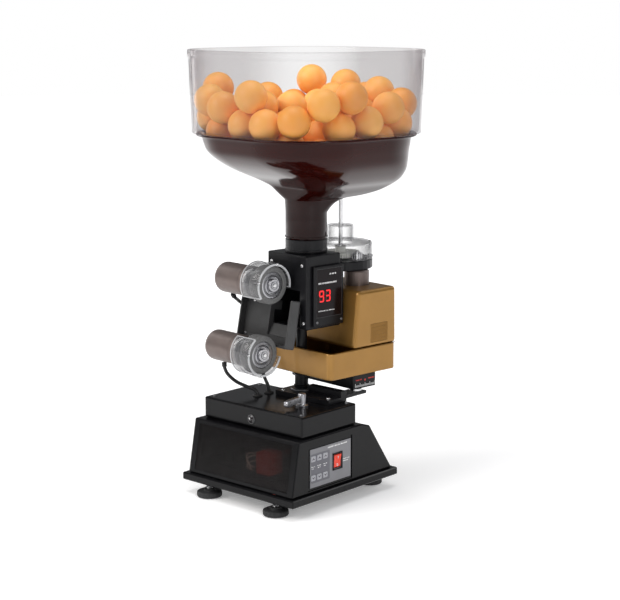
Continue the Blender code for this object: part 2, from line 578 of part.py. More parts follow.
# --- head ---------------------------------------------------------------------------------------------
def make_shell(head, looks):
    """The channel front that the motors hang on, with the two ears that it tilts on."""
    x, y, z = SHELL_X, SHELL_Y, SHELL_Z
    mesh = bmesh.new()
    corners = {}
    for depth, grow in ((y[0], 0.0), (y[1], SHELL_FLARE)):
        outline = ((x[0], z[0]), (x[1] + grow, z[0]), (x[1] + grow, z[1]), (x[0], z[1]))
        corners[depth] = [mesh.verts.new((px, depth, pz)) for px, pz in outline]
    grid_faces(mesh, list(corners.values()), False)
    for ring in corners.values():
        mesh.faces.new(ring)
    shell = body("launch_shell", mesh, looks["shell_grey"], head)
    rounded_edges(shell, 1.6, 2)
    cut(shell, box((x[0] + 3.2, x[1] - 2.2), (y[0] - 5, y[1] - 3), (z[0] + 3.5, z[1] - 3.5)), head)
    cut(shell, box((-21.8, 21.8), (y[0] - 5, y[1] + 5), (NOTCH_LOW, z[1] + 6)), head)
    ramp = [(y[1] - 2.5, NOTCH_LOW - 3.0), (y[1] - 2.5, NOTCH_LOW - 0.6), (y[1] - 0.5, NOTCH_LOW + 0.6),
            (y[1] + 4.0, RAMP_TOP), (y[1] + 5.7, RAMP_TOP), (y[1] + 1.0, NOTCH_LOW - 3.0)]
    join(shell, prism(ramp, (-22.6, 22.6)), head)
    for side in (-1, 1):
        ear_x = sorted((side * 21.9, side * 23.4))
        join(shell, box(ear_x, (y[1] - 1.0, 3.0), (-6.5, 5.0)), head)
        join(shell, box(ear_x, (y[1] - 1.0, y[1] + 4.2), (NOTCH_LOW - 2.0, -5.0)), head)
        ends = sorted((side * 22.2, side * TRUNNION_X[1]))
        join(shell, along_x(rod(TRUNNION_RADIUS, ends[0], ends[1], 16)), head)


def make_wheel_unit(name, z, flip, head, looks):
    """A motor on its bracket with its wheel and guard; flip=True opens the guard upwards."""
    sign = -1 if flip else 1
    at = (0, WHEEL_Y, z)
    can = [(0, MOTOR_X[0]), (8, MOTOR_X[0]), (14, MOTOR_X[0] + 1.0), (18, MOTOR_X[0] + 4.0), (MOTOR_RADIUS, MOTOR_X[0] + 8.5),
           (MOTOR_RADIUS, MOTOR_X[1] - 1), (MOTOR_RADIUS - 1, MOTOR_X[1]), (0, MOTOR_X[1])]
    motor = body(f"{name}_motor", along_x(turned(can, 32)), looks["motor_can"], head, at)
    cut(motor, along_x(rod(AXLE_RADIUS + 0.4, MOTOR_X[1] - 16, MOTOR_X[1] + 5, 20)), head, at)

    bracket = body(f"{name}_bracket", box(BRACKET_X, (-17, 19.2), (-17, 17)), looks["shell_grey"], head, at)
    rounded_edges(bracket, 1.0, 1)
    foot_z = sorted((-sign * 15.8, -sign * 20.5))
    join(bracket, box((-46, BRACKET_X[1]), (19.2, SHELL_Y[0] - WHEEL_Y - GAP), foot_z), head, at)
    join(bracket, box(BRACKET_X, (8, SHELL_Y[0] - WHEEL_Y - GAP), sorted((-sign * 8, -sign * 20.5))), head, at)
    cut(bracket, along_x(rod(6.5, -40, -10, 24)), head, at)

    body(f"{name}_axle", along_x(rod(AXLE_RADIUS, -39.5, 13.2, 20, 0.5)), looks["steel"], head, at)
    hub = [(AXLE_RADIUS + GAP, -8.0), (16.4, -8.0), (16.4, 7.4), (13.0, 7.4), (11.5, 8.6), (8.6, 8.6), (8.0, 11.6),
           (4.6, 12.2), (AXLE_RADIUS + GAP, 12.2)]
    body(f"{name}_wheel_hub", along_x(turned(hub, 28, ring=True)), looks["bright_metal"], head, at)
    tyre = [(16.7, -WHEEL_HALF), (21.6, -WHEEL_HALF), (WHEEL_RADIUS, -7.2), (WHEEL_RADIUS, 7.2), (21.6, WHEEL_HALF),
            (16.7, WHEEL_HALF)]
    body(f"{name}_wheel_tyre", along_x(turned(tyre, 32, ring=True)), looks["tyre"], head, at)

    inner, outer = GUARD_RADIUS
    low, high = GUARD_X
    profile = [(9.0, low), (outer, low), (outer, high), (inner - 1.2, high), (inner - 1.2, high - 1.3), (inner, high - 1.3),
               (inner, low + 1.5), (9.0, low + 1.5)]
    mesh = bmesh.new()
    steps = 24
    rings = []
    for i in range(steps + 1):
        t = math.radians(GUARD_ARC * i / steps)
        rings.append([mesh.verts.new((px, r * math.cos(t), sign * r * math.sin(t))) for r, px in profile])
    grid_faces(mesh, rings, False)
    mesh.faces.new(rings[0])
    mesh.faces.new(rings[-1])
    body(f"{name}_wheel_guard", mesh, looks["clear_plastic"], head, at)


# --- leads --------------------------------------------------------------------------------------------
def smooth_route(points, spacing):
    """Points read at even steps from a smooth curve through the given ones."""
    dense = []
    ends = [points[0] * 2 - points[1]] + points + [points[-1] * 2 - points[-2]]
    for a, b, c, d in zip(ends, ends[1:], ends[2:], ends[3:]):
        for i in range(20):
            t = i / 20
            dense.append(0.5 * (2 * b + (c - a) * t + (2 * a - 5 * b + 4 * c - d) * t ** 2
                                + (3 * b - a - 3 * c + d) * t ** 3))
    dense.append(points[-1])
    total = sum((q - p).length for p, q in zip(dense, dense[1:]))
    count = round(total / spacing)
    route, walked, wanted = [dense[0]], 0.0, total / count
    for p, q in zip(dense, dense[1:]):
        step = (q - p).length
        while step and walked + step >= wanted - 1e-9 and len(route) < count:
            route.append(p.lerp(q, (wanted - walked) / step))
            wanted += total / count
        walked += step
    route.append(dense[-1])
    return route


def make_lead(name, points, looks, frame):
    """A round cable through points given in millimetres in the frame."""
    curve = bpy.data.curves.new(name, "CURVE")
    curve.dimensions = "3D"
    curve.bevel_depth = LEAD_RADIUS * MM
    curve.bevel_resolution = 2
    curve.use_fill_caps = True
    route = smooth_route([Vector(p) for p in points], 9.0)
    spline = curve.splines.new("POLY")
    spline.points.add(len(route) - 1)
    for target, point in zip(spline.points, route):
        target.co = (*(point * MM), 1.0)
    made = bpy.data.objects.new(name, curve)
    curve.materials.append(looks["lead_black"])
    bpy.context.scene.collection.objects.link(made)
    made.parent = frame


LOWER_LEAD = [(-66.0, -72.5, 161.6), (-66.0, -72.2, 156.0), (-62.5, -69.5, 147.0), (-54.0, -63.0, 138.0),
              (-43.0, -55.5, 132.5), (-33.5, -50.2, 129.0), (-29.4, -48.5, 124.2)]
UPPER_LEAD = [(-70.0, -54.0, 247.0), (-71.5, -50.0, 243.0), (-76.0, -40.0, 237.0), (-78.0, -29.0, 228.0),
              (-76.5, -23.5, 212.0), (-69.0, -23.0, 194.0), (-59.0, -25.5, 175.0), (-48.5, -28.0, 157.0),
              (-38.5, -29.0, 141.0), (-32.6, -28.2, 131.0), (-31.4, -27.8, 124.2)]


def main():
    for old in list(bpy.data.objects):
        bpy.data.objects.remove(old, do_unlink=True)
    looks = {
        "black_plastic": material("black_plastic", (0.012, 0.012, 0.014), 0.32),
        "satin_black": material("satin_black", (0.018, 0.018, 0.021), 0.42),
        "grey_plastic": material("grey_plastic", (0.08, 0.08, 0.085), 0.5),
        "smoked_window": material("smoked_window", (0.02, 0.018, 0.02), 0.12, transmission=0.5),
        "panel_grey": material("panel_grey", (0.32, 0.32, 0.34), 0.4),
        "red_plastic": material("red_plastic", (0.62, 0.05, 0.02), 0.35),
        "rubber": material("rubber", (0.02, 0.02, 0.022), 0.7),
        "lamp_dome": material("lamp_dome", (0.05, 0.045, 0.05), 0.15),
        "steel": material("steel", (0.55, 0.55, 0.56), 0.28, metallic=1.0),
        "bright_metal": material("bright_metal", (0.75, 0.75, 0.77), 0.25, metallic=1.0),
        "coil_red": material("coil_red", (0.45, 0.06, 0.04), 0.5),
        "board_green": material("board_green", (0.03, 0.12, 0.05), 0.5),
        "gold": material("gold", (0.42, 0.24, 0.06), 0.34, metallic=0.75),
        "gold_dark": material("gold_dark", (0.32, 0.18, 0.05), 0.45, metallic=0.6),
        "display_glass": material("display_glass", (0.02, 0.008, 0.01), 0.1),
        "smoked_red": material("smoked_red", (0.09, 0.012, 0.01), 0.1, transmission=0.35),
        "clear_plastic": material("clear_plastic", (0.95, 0.94, 0.95), 0.06, transmission=0.95),
        "white_plastic": material("white_plastic", (0.8, 0.8, 0.78), 0.4),
        "motor_can": material("motor_can", (0.2, 0.17, 0.16), 0.4, metallic=0.6),
        "shell_grey": material("shell_grey", (0.1, 0.1, 0.105), 0.45),
        "tyre": material("tyre", (0.28, 0.28, 0.28), 0.75),
        "lead_black": material("lead_black", (0.015, 0.015, 0.016), 0.5),
    }
    base = frame_at("base_frame", None, (*BASE_AT, 0))
    turret = frame_at("turret_frame", base, (*PIVOT_IN_BASE, 0), SWEEP_REST)
    head = frame_at("head_frame", turret, (0, *TILT_AT), -TILT_REST, "X")
    make_base(base, looks)
    make_pivot(base, looks)
    make_housing(turret, looks)
    make_block(turret, looks)
    make_hopper(turret, looks)
    make_stirrer(turret, looks)
    make_shell(head, looks)
    make_wheel_unit("upper", WHEEL_Z[0], False, head, looks)
    make_wheel_unit("lower", WHEEL_Z[1], True, head, looks)
    make_lead("lower_motor_lead", LOWER_LEAD, looks, turret)
    make_lead("upper_motor_lead", UPPER_LEAD, looks, turret)


main()
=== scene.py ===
"""The looks of a table-tennis ball machine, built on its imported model.

Sizes are millimetres in three frames: BASE (centre of the base on the floor), TURRET (the sweep pivot,
turned as at rest) and HEAD (the tilt pins, tipped back as at rest). put() turns them into metres in the
shared frame.
"""

import math
import random

import bmesh
import bpy
import numpy as np
from mathutils import Matrix, Vector
from mathutils.bvhtree import BVHTree


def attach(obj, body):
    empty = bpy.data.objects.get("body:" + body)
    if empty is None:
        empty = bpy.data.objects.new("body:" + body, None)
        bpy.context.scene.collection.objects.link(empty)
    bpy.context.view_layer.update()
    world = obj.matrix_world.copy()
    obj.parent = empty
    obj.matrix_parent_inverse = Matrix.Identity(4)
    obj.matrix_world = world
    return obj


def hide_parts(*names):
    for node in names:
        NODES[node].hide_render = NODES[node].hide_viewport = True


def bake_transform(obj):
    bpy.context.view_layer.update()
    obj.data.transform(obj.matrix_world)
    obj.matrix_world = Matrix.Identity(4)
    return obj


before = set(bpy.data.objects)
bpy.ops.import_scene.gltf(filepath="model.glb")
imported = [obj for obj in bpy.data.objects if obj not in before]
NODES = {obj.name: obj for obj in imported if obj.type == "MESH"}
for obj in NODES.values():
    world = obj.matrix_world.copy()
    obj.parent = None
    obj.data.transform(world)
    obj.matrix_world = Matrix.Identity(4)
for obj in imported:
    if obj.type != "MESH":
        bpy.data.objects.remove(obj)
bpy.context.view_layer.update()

MM = 0.001
NECK_Y = 8.2
BASE = Matrix.Translation((-0.8, -29.2, 0))
TURRET = BASE @ Matrix.Translation((0, 21, 0)) @ Matrix.Rotation(math.radians(-5.6), 4, "Z")
HEAD = TURRET @ Matrix.Translation((0, -16, 236)) @ Matrix.Rotation(math.radians(-11), 4, "X")
NECK = TURRET @ Matrix.Translation((0, NECK_Y, 0))
DECK_Z = 121.3
WHEEL_Y = -45.6
WHEEL_Z = {"upper": 25.0, "lower": -62.0}
LEVER = (42.5, -25.0, DECK_Z)
ROCKER = (86.0, -12.2, 57.5)
RECEIVER = (-1.0, -70.3, 105.6)
KEY_Y = (-57.0, -46.0, -35.0)
STIRRER = (-10.0, 77.0)
BALL = 19.9
GUARD_ARC = 225


# --- meshes -------------------------------------------------------------------------------------------
def box(x, y, z):
    mesh = bmesh.new()
    bmesh.ops.create_cube(mesh, size=1.0)
    size = Matrix.Diagonal((x[1] - x[0], y[1] - y[0], z[1] - z[0], 1.0))
    middle = Matrix.Translation((sum(x) / 2, sum(y) / 2, sum(z) / 2))
    bmesh.ops.transform(mesh, matrix=middle @ size, verts=mesh.verts)
    return mesh


def skin(mesh, rings, closed):
    """Faces between each ring of points and the next."""
    pairs = list(zip(rings, rings[1:]))
    if closed:
        pairs.append((rings[-1], rings[0]))
    for low, high in pairs:
        count = max(len(low), len(high))
        for i in range(count):
            j = (i + 1) % count
            corners = [low[i % len(low)], low[j % len(low)], high[j % len(high)], high[i % len(high)]]
            corners = list(dict.fromkeys(corners))
            if len(corners) > 2:
                mesh.faces.new(corners)


def turned(profile, segments=64, ring=False):
    """A profile of (radius, height) turned round Z."""
    mesh = bmesh.new()
    rings = []
    for radius, height in profile:
        if radius == 0:
            rings.append([mesh.verts.new((0, 0, height))])
            continue
        turns = [2 * math.pi * i / segments for i in range(segments)]
        rings.append([mesh.verts.new((radius * math.cos(t), radius * math.sin(t), height)) for t in turns])
    skin(mesh, rings, ring)
    return mesh


def rod(radius, low, high, segments=32, chamfer=0.3):
    """A round pin along Z with both of its rims chamfered."""
    inner = radius - chamfer
    return turned([(0, low), (inner, low), (radius, low + chamfer), (radius, high - chamfer), (inner, high),
                   (0, high)], segments)


def prism(outline, x):
    """An outline of (y, z) points pushed along X."""
    mesh = bmesh.new()
    ends = [[mesh.verts.new((side, y, z)) for y, z in outline] for side in x]
    skin(mesh, ends, False)
    mesh.faces.new(ends[0])
    mesh.faces.new(ends[1])
    return mesh


def rounded(half, front, back, near, far, steps=16):
    """Points round a rectangle with round corners, anticlockwise from the front right."""
    points = []
    corners = [(half - near, near - front, near, -90), (half - far, back - far, far, 0),
               (far - half, back - far, far, 90), (near - half, near - front, near, 180)]
    for x, y, corner, start in corners:
        for i in range(steps + 1):
            t = math.radians(start + 90 * i / steps)
            points.append((x + corner * math.cos(t), y + corner * math.sin(t)))
    return points


def lofted(levels):
    """A ring-shaped wall through (outline, height) levels, joined from the last back to the first."""
    mesh = bmesh.new()
    rings = [[mesh.verts.new((x, y, height)) for x, y in outline] for outline, height in levels]
    skin(mesh, rings, True)
    return mesh


def card(x, y, z, corner, steps=5):
    """A thin plate facing +X with round corners, between two values on each axis."""
    half = (y[1] - y[0]) / 2
    tall = (z[1] - z[0]) / 2
    outline = rounded(half, tall, tall, corner, corner, steps)
    return prism([(py + sum(y) / 2, pz + sum(z) / 2) for py, pz in outline], x)


def placed(mesh, at=(0, 0, 0), turn=0.0, axis="Z"):
    matrix = Matrix.Translation(at) @ Matrix.Rotation(math.radians(turn), 4, axis)
    bmesh.ops.transform(mesh, matrix=matrix, verts=mesh.verts)
    return mesh


def along_x(mesh, at=(0, 0, 0)):
    return placed(placed(mesh, turn=90, axis="Y"), at)


def merged(*meshes):
    """Several meshes as one; they may touch or cross, as a screw does its plate."""
    whole = bmesh.new()
    for mesh in meshes:
        data = bpy.data.meshes.new("part")
        mesh.to_mesh(data)
        mesh.free()
        whole.from_mesh(data)
        bpy.data.meshes.remove(data)
    return whole


def smooth_route(points, spacing):
    """Points at even steps along a smooth curve through the given ones."""
    points = [Vector(p) for p in points]
    ends = [points[0] * 2 - points[1]] + points + [points[-1] * 2 - points[-2]]
    dense = []
    for a, b, c, d in zip(ends, ends[1:], ends[2:], ends[3:]):
        for i in range(24):
            t = i / 24
            dense.append(0.5 * (2 * b + (c - a) * t + (2 * a - 5 * b + 4 * c - d) * t ** 2
                                + (3 * b - a - 3 * c + d) * t ** 3))
    dense.append(points[-1])
    walked = [0.0]
    for p, q in zip(dense, dense[1:]):
        walked.append(walked[-1] + (q - p).length)
    count = max(2, round(walked[-1] / spacing))
    wanted = np.linspace(0, walked[-1], count + 1)
    columns = [np.interp(wanted, walked, [p[k] for p in dense]) for k in range(3)]
    return [Vector(p) for p in zip(*columns)]


def hose(points, radius, sides=16):
    """A round tube through points, with its ends closed."""
    mesh = bmesh.new()
    side = None
    rings = []
    for i, point in enumerate(points):
        along = (points[min(i + 1, len(points) - 1)] - points[max(i - 1, 0)]).normalized()
        side = along.orthogonal() if side is None else side - along * side.dot(along)
        side.normalize()
        up = along.cross(side)
        turns = [2 * math.pi * k / sides for k in range(sides)]
        rings.append([mesh.verts.new(point + (side * math.cos(t) + up * math.sin(t)) * radius)
                      for t in turns])
    skin(mesh, rings, False)
    mesh.faces.new(rings[0])
    mesh.faces.new(rings[-1])
    return mesh


def put(name, mesh, look, body, where=BASE, at=(0, 0, 0), stands_for=(), edges=0.0, smooth=38, steps=2):
    """One visible piece, its mesh in millimetres from the point at, in a frame; it rides on a body."""
    bmesh.ops.recalc_face_normals(mesh, faces=mesh.faces)
    bmesh.ops.transform(mesh, matrix=Matrix.Scale(MM, 4) @ where @ Matrix.Translation(at), verts=mesh.verts)
    data = bpy.data.meshes.new(name)
    mesh.to_mesh(data)
    mesh.free()
    data.shade_smooth()
    data.set_sharp_from_angle(angle=math.radians(smooth))
    data.materials.append(LOOKS[look])
    made = bpy.data.objects.new(name, data)
    bpy.context.scene.collection.objects.link(made)
    if edges:
        bevel = made.modifiers.new("Edges", "BEVEL")
        bevel.width = edges * MM
        bevel.segments = steps
        bevel.limit_method = "ANGLE"
        bevel.angle_limit = math.radians(35)
        bevel.harden_normals = True
    if body:
        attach(made, body)
    if stands_for:
        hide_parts(*stands_for)
    return made


# --- materials ----------------------------------------------------------------------------------------
LOOKS = {}


def look(name, colour, rough, metal=0.0, spread=0.06, patch=60.0, rough_spread=0.04, bump=0.0, grain=900.0,
         coat=0.0, glow=0.0, alpha=None, specular=0.5, soft=0.0):
    """A surface whose colour, gloss and fine relief vary; alpha holds a clear one's least and most."""
    made = bpy.data.materials.new(name)
    made.use_nodes = True
    nodes, links = made.node_tree.nodes, made.node_tree.links
    shader = nodes["Principled BSDF"]
    place = nodes.new("ShaderNodeTexCoord")

    def noise(size, detail=3.0):
        found = nodes.new("ShaderNodeTexNoise")
        found.inputs["Scale"].default_value = size
        found.inputs["Detail"].default_value = detail
        links.new(place.outputs["Object"], found.inputs["Vector"])
        return found.outputs["Fac"]

    def between(value, low, high):
        span = nodes.new("ShaderNodeMapRange")
        span.inputs["From Min"].default_value = 0.3
        span.inputs["From Max"].default_value = 0.7
        span.inputs["To Min"].default_value = low
        span.inputs["To Max"].default_value = high
        links.new(value, span.inputs["Value"])
        return span.outputs["Result"]

    mix = nodes.new("ShaderNodeMix")
    mix.data_type = "RGBA"
    mix.inputs[6].default_value = (*[min(1.0, c * (1 - spread)) for c in colour], 1)
    mix.inputs[7].default_value = (*[min(1.0, c * (1 + spread)) for c in colour], 1)
    links.new(between(noise(patch), 0, 1), mix.inputs[0])
    links.new(mix.outputs[2], shader.inputs["Base Color"])
    links.new(between(noise(patch * 3.7), max(0.0, rough - rough_spread), rough + rough_spread),
              shader.inputs["Roughness"])
    if bump:
        relief = nodes.new("ShaderNodeBump")
        relief.inputs["Strength"].default_value = bump
        relief.inputs["Distance"].default_value = 0.0004
        links.new(noise(grain, 2.0), relief.inputs["Height"])
        links.new(relief.outputs["Normal"], shader.inputs["Normal"])
    shader.inputs["Metallic"].default_value = metal
    shader.inputs["Coat Weight"].default_value = coat
    shader.inputs["Coat Roughness"].default_value = 0.08
    shader.inputs["Specular IOR Level"].default_value = specular
    shader.inputs["IOR"].default_value = 1.47
    if soft:
        shader.inputs["Subsurface Weight"].default_value = soft
        shader.inputs["Subsurface Radius"].default_value = (1.0, 0.5, 0.25)
        shader.inputs["Subsurface Scale"].default_value = 0.004
    if glow:
        shader.inputs["Emission Color"].default_value = (*colour, 1)
        shader.inputs["Emission Strength"].default_value = glow
    if alpha is not None:
        edge = nodes.new("ShaderNodeLayerWeight")
        edge.inputs["Blend"].default_value = 0.35
        span = nodes.new("ShaderNodeMapRange")
        span.inputs["To Min"].default_value = alpha[0]
        span.inputs["To Max"].default_value = alpha[1]
        links.new(edge.outputs["Facing"], span.inputs["Value"])
        links.new(span.outputs["Result"], shader.inputs["Alpha"])
    LOOKS[name] = made
    return made


def multiply_colour(name, share, low, high):
    """Multiplies a look's colour by one between low and high, as a socket of its nodes says."""
    nodes, links = LOOKS[name].node_tree.nodes, LOOKS[name].node_tree.links
    colour = nodes["Principled BSDF"].inputs["Base Color"]
    source = colour.links[0].from_socket
    tint = nodes.new("ShaderNodeMix")
    tint.data_type = "RGBA"
    tint.inputs[6].default_value = (*low, 1)
    tint.inputs[7].default_value = (*high, 1)
    links.new(share, tint.inputs[0])
    mix = nodes.new("ShaderNodeMix")
    mix.data_type = "RGBA"
    mix.blend_type = "MULTIPLY"
    mix.inputs[0].default_value = 1.0
    links.new(source, mix.inputs[6])
    links.new(tint.outputs[2], mix.inputs[7])
    links.new(mix.outputs[2], colour)


def add_tone(name, low, high, attribute):
    """A colour that follows a value stored on the mesh."""
    stored = LOOKS[name].node_tree.nodes.new("ShaderNodeAttribute")
    stored.attribute_name = attribute
    multiply_colour(name, stored.outputs["Fac"], low, high)


def paint_height_shade(name, low_z, high_z, low, high):
    """A colour that changes with height: painted shade low down and painted light higher up."""
    nodes, links = LOOKS[name].node_tree.nodes, LOOKS[name].node_tree.links
    place = nodes.new("ShaderNodeTexCoord")
    split = nodes.new("ShaderNodeSeparateXYZ")
    span = nodes.new("ShaderNodeMapRange")
    span.interpolation_type = "SMOOTHSTEP"
    span.inputs["From Min"].default_value = low_z * MM
    span.inputs["From Max"].default_value = high_z * MM
    links.new(place.outputs["Object"], split.inputs[0])
    links.new(split.outputs["Z"], span.inputs["Value"])
    multiply_colour(name, span.outputs["Result"], low, high)


def make_looks():
    look("gloss_black", (0.0035, 0.0035, 0.0042), 0.19, spread=0.25, rough_spread=0.05, bump=0.05, grain=700,
         specular=0.2)
    look("satin_black", (0.0055, 0.0055, 0.0068), 0.33, spread=0.2, bump=0.12, grain=1500, specular=0.22)
    look("case_grey", (0.05, 0.05, 0.053), 0.42, spread=0.12, bump=0.12, grain=1600)
    look("smoked_window", (0.004, 0.003, 0.003), 0.17, spread=0.5, patch=420, bump=0.12, grain=420,
         alpha=(0.68, 0.95), specular=0.2)
    look("panel_grey", (0.2, 0.2, 0.215), 0.38, spread=0.04, bump=0.05, grain=2500)
    look("panel_dark", (0.12, 0.12, 0.14), 0.4, spread=0.05)
    look("key_grey", (0.36, 0.36, 0.39), 0.42, spread=0.05, bump=0.06, grain=2200)
    # Dark ink for printed marks, also used as painted shade in screw crosses and side slots.
    look("print_and_shade_dark", (0.025, 0.025, 0.03), 0.5, spread=0.1)
    look("ink_white", (0.72, 0.72, 0.72), 0.5, spread=0.04)
    look("ink_red", (0.6, 0.03, 0.02), 0.45, spread=0.06)
    look("switch_red", (0.62, 0.035, 0.012), 0.25, spread=0.06, glow=0.25)
    look("rubber", (0.014, 0.014, 0.015), 0.62, spread=0.2, bump=0.3, grain=1500)
    look("lens", (0.006, 0.003, 0.005), 0.06, spread=0.2, coat=0.6)
    look("steel", (0.62, 0.62, 0.63), 0.24, metal=1.0, spread=0.06, bump=0.06, grain=1200)
    look("turned_alloy", (0.42, 0.42, 0.44), 0.3, metal=1.0, spread=0.05, bump=0.1, grain=1800)
    look("dark_alloy", (0.2, 0.2, 0.21), 0.35, metal=0.9, spread=0.06, bump=0.1, grain=1800)
    # The coil and its wire ends glow though no lamp is in them: painted light that keeps them bright behind
    # the smoked window.
    look("coil_red", (0.42, 0.06, 0.04), 0.5, spread=0.5, patch=200, bump=0.5, grain=500, glow=0.75)
    look("wire_pale_painted_glow", (0.7, 0.5, 0.42), 0.5, spread=0.15, glow=0.9)
    look("board_green", (0.02, 0.1, 0.04), 0.45, spread=0.15)
    look("gold", (0.33, 0.172, 0.04), 0.33, metal=0.62, spread=0.05, patch=35, rough_spread=0.03, bump=0.1,
         grain=2600, coat=0.15)
    # Darker gold: a dark joint along the tower seam, and painted shade in the side vent and the back slots.
    look("gold_seam_and_shade", (0.24, 0.122, 0.028), 0.38, metal=0.75, spread=0.06, bump=0.12, grain=2400)
    look("display", (0.006, 0.003, 0.004), 0.16, spread=0.15, specular=0.16)
    look("led_red", (0.85, 0.012, 0.014), 0.4, spread=0.02, glow=0.85)
    look("led_off", (0.05, 0.006, 0.007), 0.3, spread=0.1)
    look("smoked_red", (0.0125, 0.0016, 0.0012), 0.1, spread=0.2, patch=14, rough_spread=0.03, bump=0.03,
         grain=120, specular=0.2)
    look("clear", (0.2, 0.2, 0.21), 0.05, spread=0.03, rough_spread=0.02, alpha=(0.035, 0.7), specular=0.9)
    # Near-white rims on the clear guards: a painted highlight along the plastic's edges.
    look("clear_edge_highlight", (0.72, 0.73, 0.75), 0.12, spread=0.04, alpha=(0.5, 0.9), specular=0.9)
    look("clear_wall", (0.11, 0.075, 0.085), 0.06, spread=0.03, patch=12, rough_spread=0.02,
         alpha=(0.036, 0.55), specular=0.5)
    look("nylon", (0.72, 0.72, 0.69), 0.4, spread=0.05)
    look("motor", (0.15, 0.118, 0.108), 0.42, metal=0.55, spread=0.07, patch=90, bump=0.16, grain=1500)
    # Darker motor metal for the vents on the motor's end: painted shade in their openings.
    look("motor_vent_shade", (0.09, 0.075, 0.07), 0.45, metal=0.5, spread=0.08, bump=0.15, grain=1500)
    look("shell", (0.04, 0.04, 0.041), 0.38, spread=0.12, bump=0.15, grain=1700)
    look("tyre", (0.13, 0.13, 0.13), 0.7, spread=0.16, patch=400, bump=0.5, grain=1300)
    look("lead", (0.011, 0.011, 0.012), 0.42, spread=0.2, bump=0.1, grain=1200)
    look("brass", (0.7, 0.48, 0.18), 0.3, metal=1.0, spread=0.06)
    look("ball", (1.0, 0.455, 0.092), 0.45, spread=0.035, patch=45, rough_spread=0.05, bump=0.06, grain=1800,
         soft=0.25)
    add_tone("ball", (0.9, 0.8, 0.7), (1.05, 1.12, 1.35), "tone")
    # Painted shade and light on the smoked red bowl: darker towards the neck, lighter towards the rim.
    paint_height_shade("smoked_red", 330, 452, (0.75, 0.65, 0.65), (1.7, 1.35, 1.2))


PAINT = {
    "gloss_black": ["base_plate", "lower_body", "top_cover"],
    "smoked_window": ["front_window"], "panel_grey": ["control_panel"],
    "case_grey": ["power_jack"],
    "rubber": ["cable_grommet_1", "cable_grommet_2", "cable_grommet_3"],
    "steel": ["transformer_core", "sweep_crank", "stirrer_shaft", "drive_pinion", "upper_axle", "lower_axle"],
    "coil_red": ["transformer_coil"], "board_green": ["power_board"], "lens": ["remote_receiver"],
    "satin_black": ["turntable_plate", "pivot_shaft", "pivot_bushing", "sweep_gearbox", "head_block",
                    "display_housing", "neck_collar", "gear_case_base"],
    # The side vent takes the darker gold as painted shade.
    "gold": ["lower_tray", "rear_cover"], "gold_seam_and_shade": ["side_vent"], "display": ["display_window"],
    "nylon": ["stirrer_gear"], "motor": ["feed_motor"],
    "shell": ["launch_shell", "upper_bracket", "lower_bracket"],
}
SOFT_EDGED = ("base_plate", "lower_body", "top_cover", "head_block", "display_housing", "lower_tray",
              "turntable_plate", "sweep_gearbox")


def paint_nodes():
    for name, nodes in PAINT.items():
        for node in nodes:
            data = NODES[node].data
            data.materials.clear()
            data.materials.append(LOOKS[name])
            data.shade_smooth()
            data.set_sharp_from_angle(angle=math.radians(32))
            if node in SOFT_EDGED:
                bevel = NODES[node].modifiers.new("Edges", "BEVEL")
                bevel.width = 0.7 * MM
                bevel.segments = 2
                bevel.limit_method = "ANGLE"
                bevel.angle_limit = math.radians(40)
                bevel.harden_normals = True


# --- camera, light and floor ----------------------------------------------------------------------------
def make_camera():
    azimuth, elevation = math.radians(41.8), math.radians(10.5)
    back = Vector((math.sin(azimuth) * math.cos(elevation), -math.cos(azimuth) * math.cos(elevation),
                   math.sin(elevation)))
    right = Vector((math.cos(azimuth), math.sin(azimuth), 0))
    up = back.cross(right)
    aim = Vector((-0.0008, -0.0292, 0.2456)) + right * 0.0247
    matrix = Matrix((right, up, back)).transposed().to_4x4()
    distance = 1.9955
    matrix.translation = aim + back * distance
    data = bpy.data.cameras.new("Camera")
    data.lens = 92.7
    data.sensor_width = 36
    camera = bpy.data.objects.new("Camera", data)
    bpy.context.scene.collection.objects.link(camera)
    camera.matrix_world = matrix
    bpy.context.scene.camera = camera


def lamp(name, at, aim, size, power, colour=(1, 1, 1)):
    data = bpy.data.lights.new(name, "AREA")
    data.shape = "RECTANGLE"
    data.size, data.size_y = size
    data.energy = power
    data.color = colour
    made = bpy.data.objects.new(name, data)
    bpy.context.scene.collection.objects.link(made)
    made.location = at
    made.rotation_euler = (Vector(at) - Vector(aim)).to_track_quat("Z", "Y").to_euler()


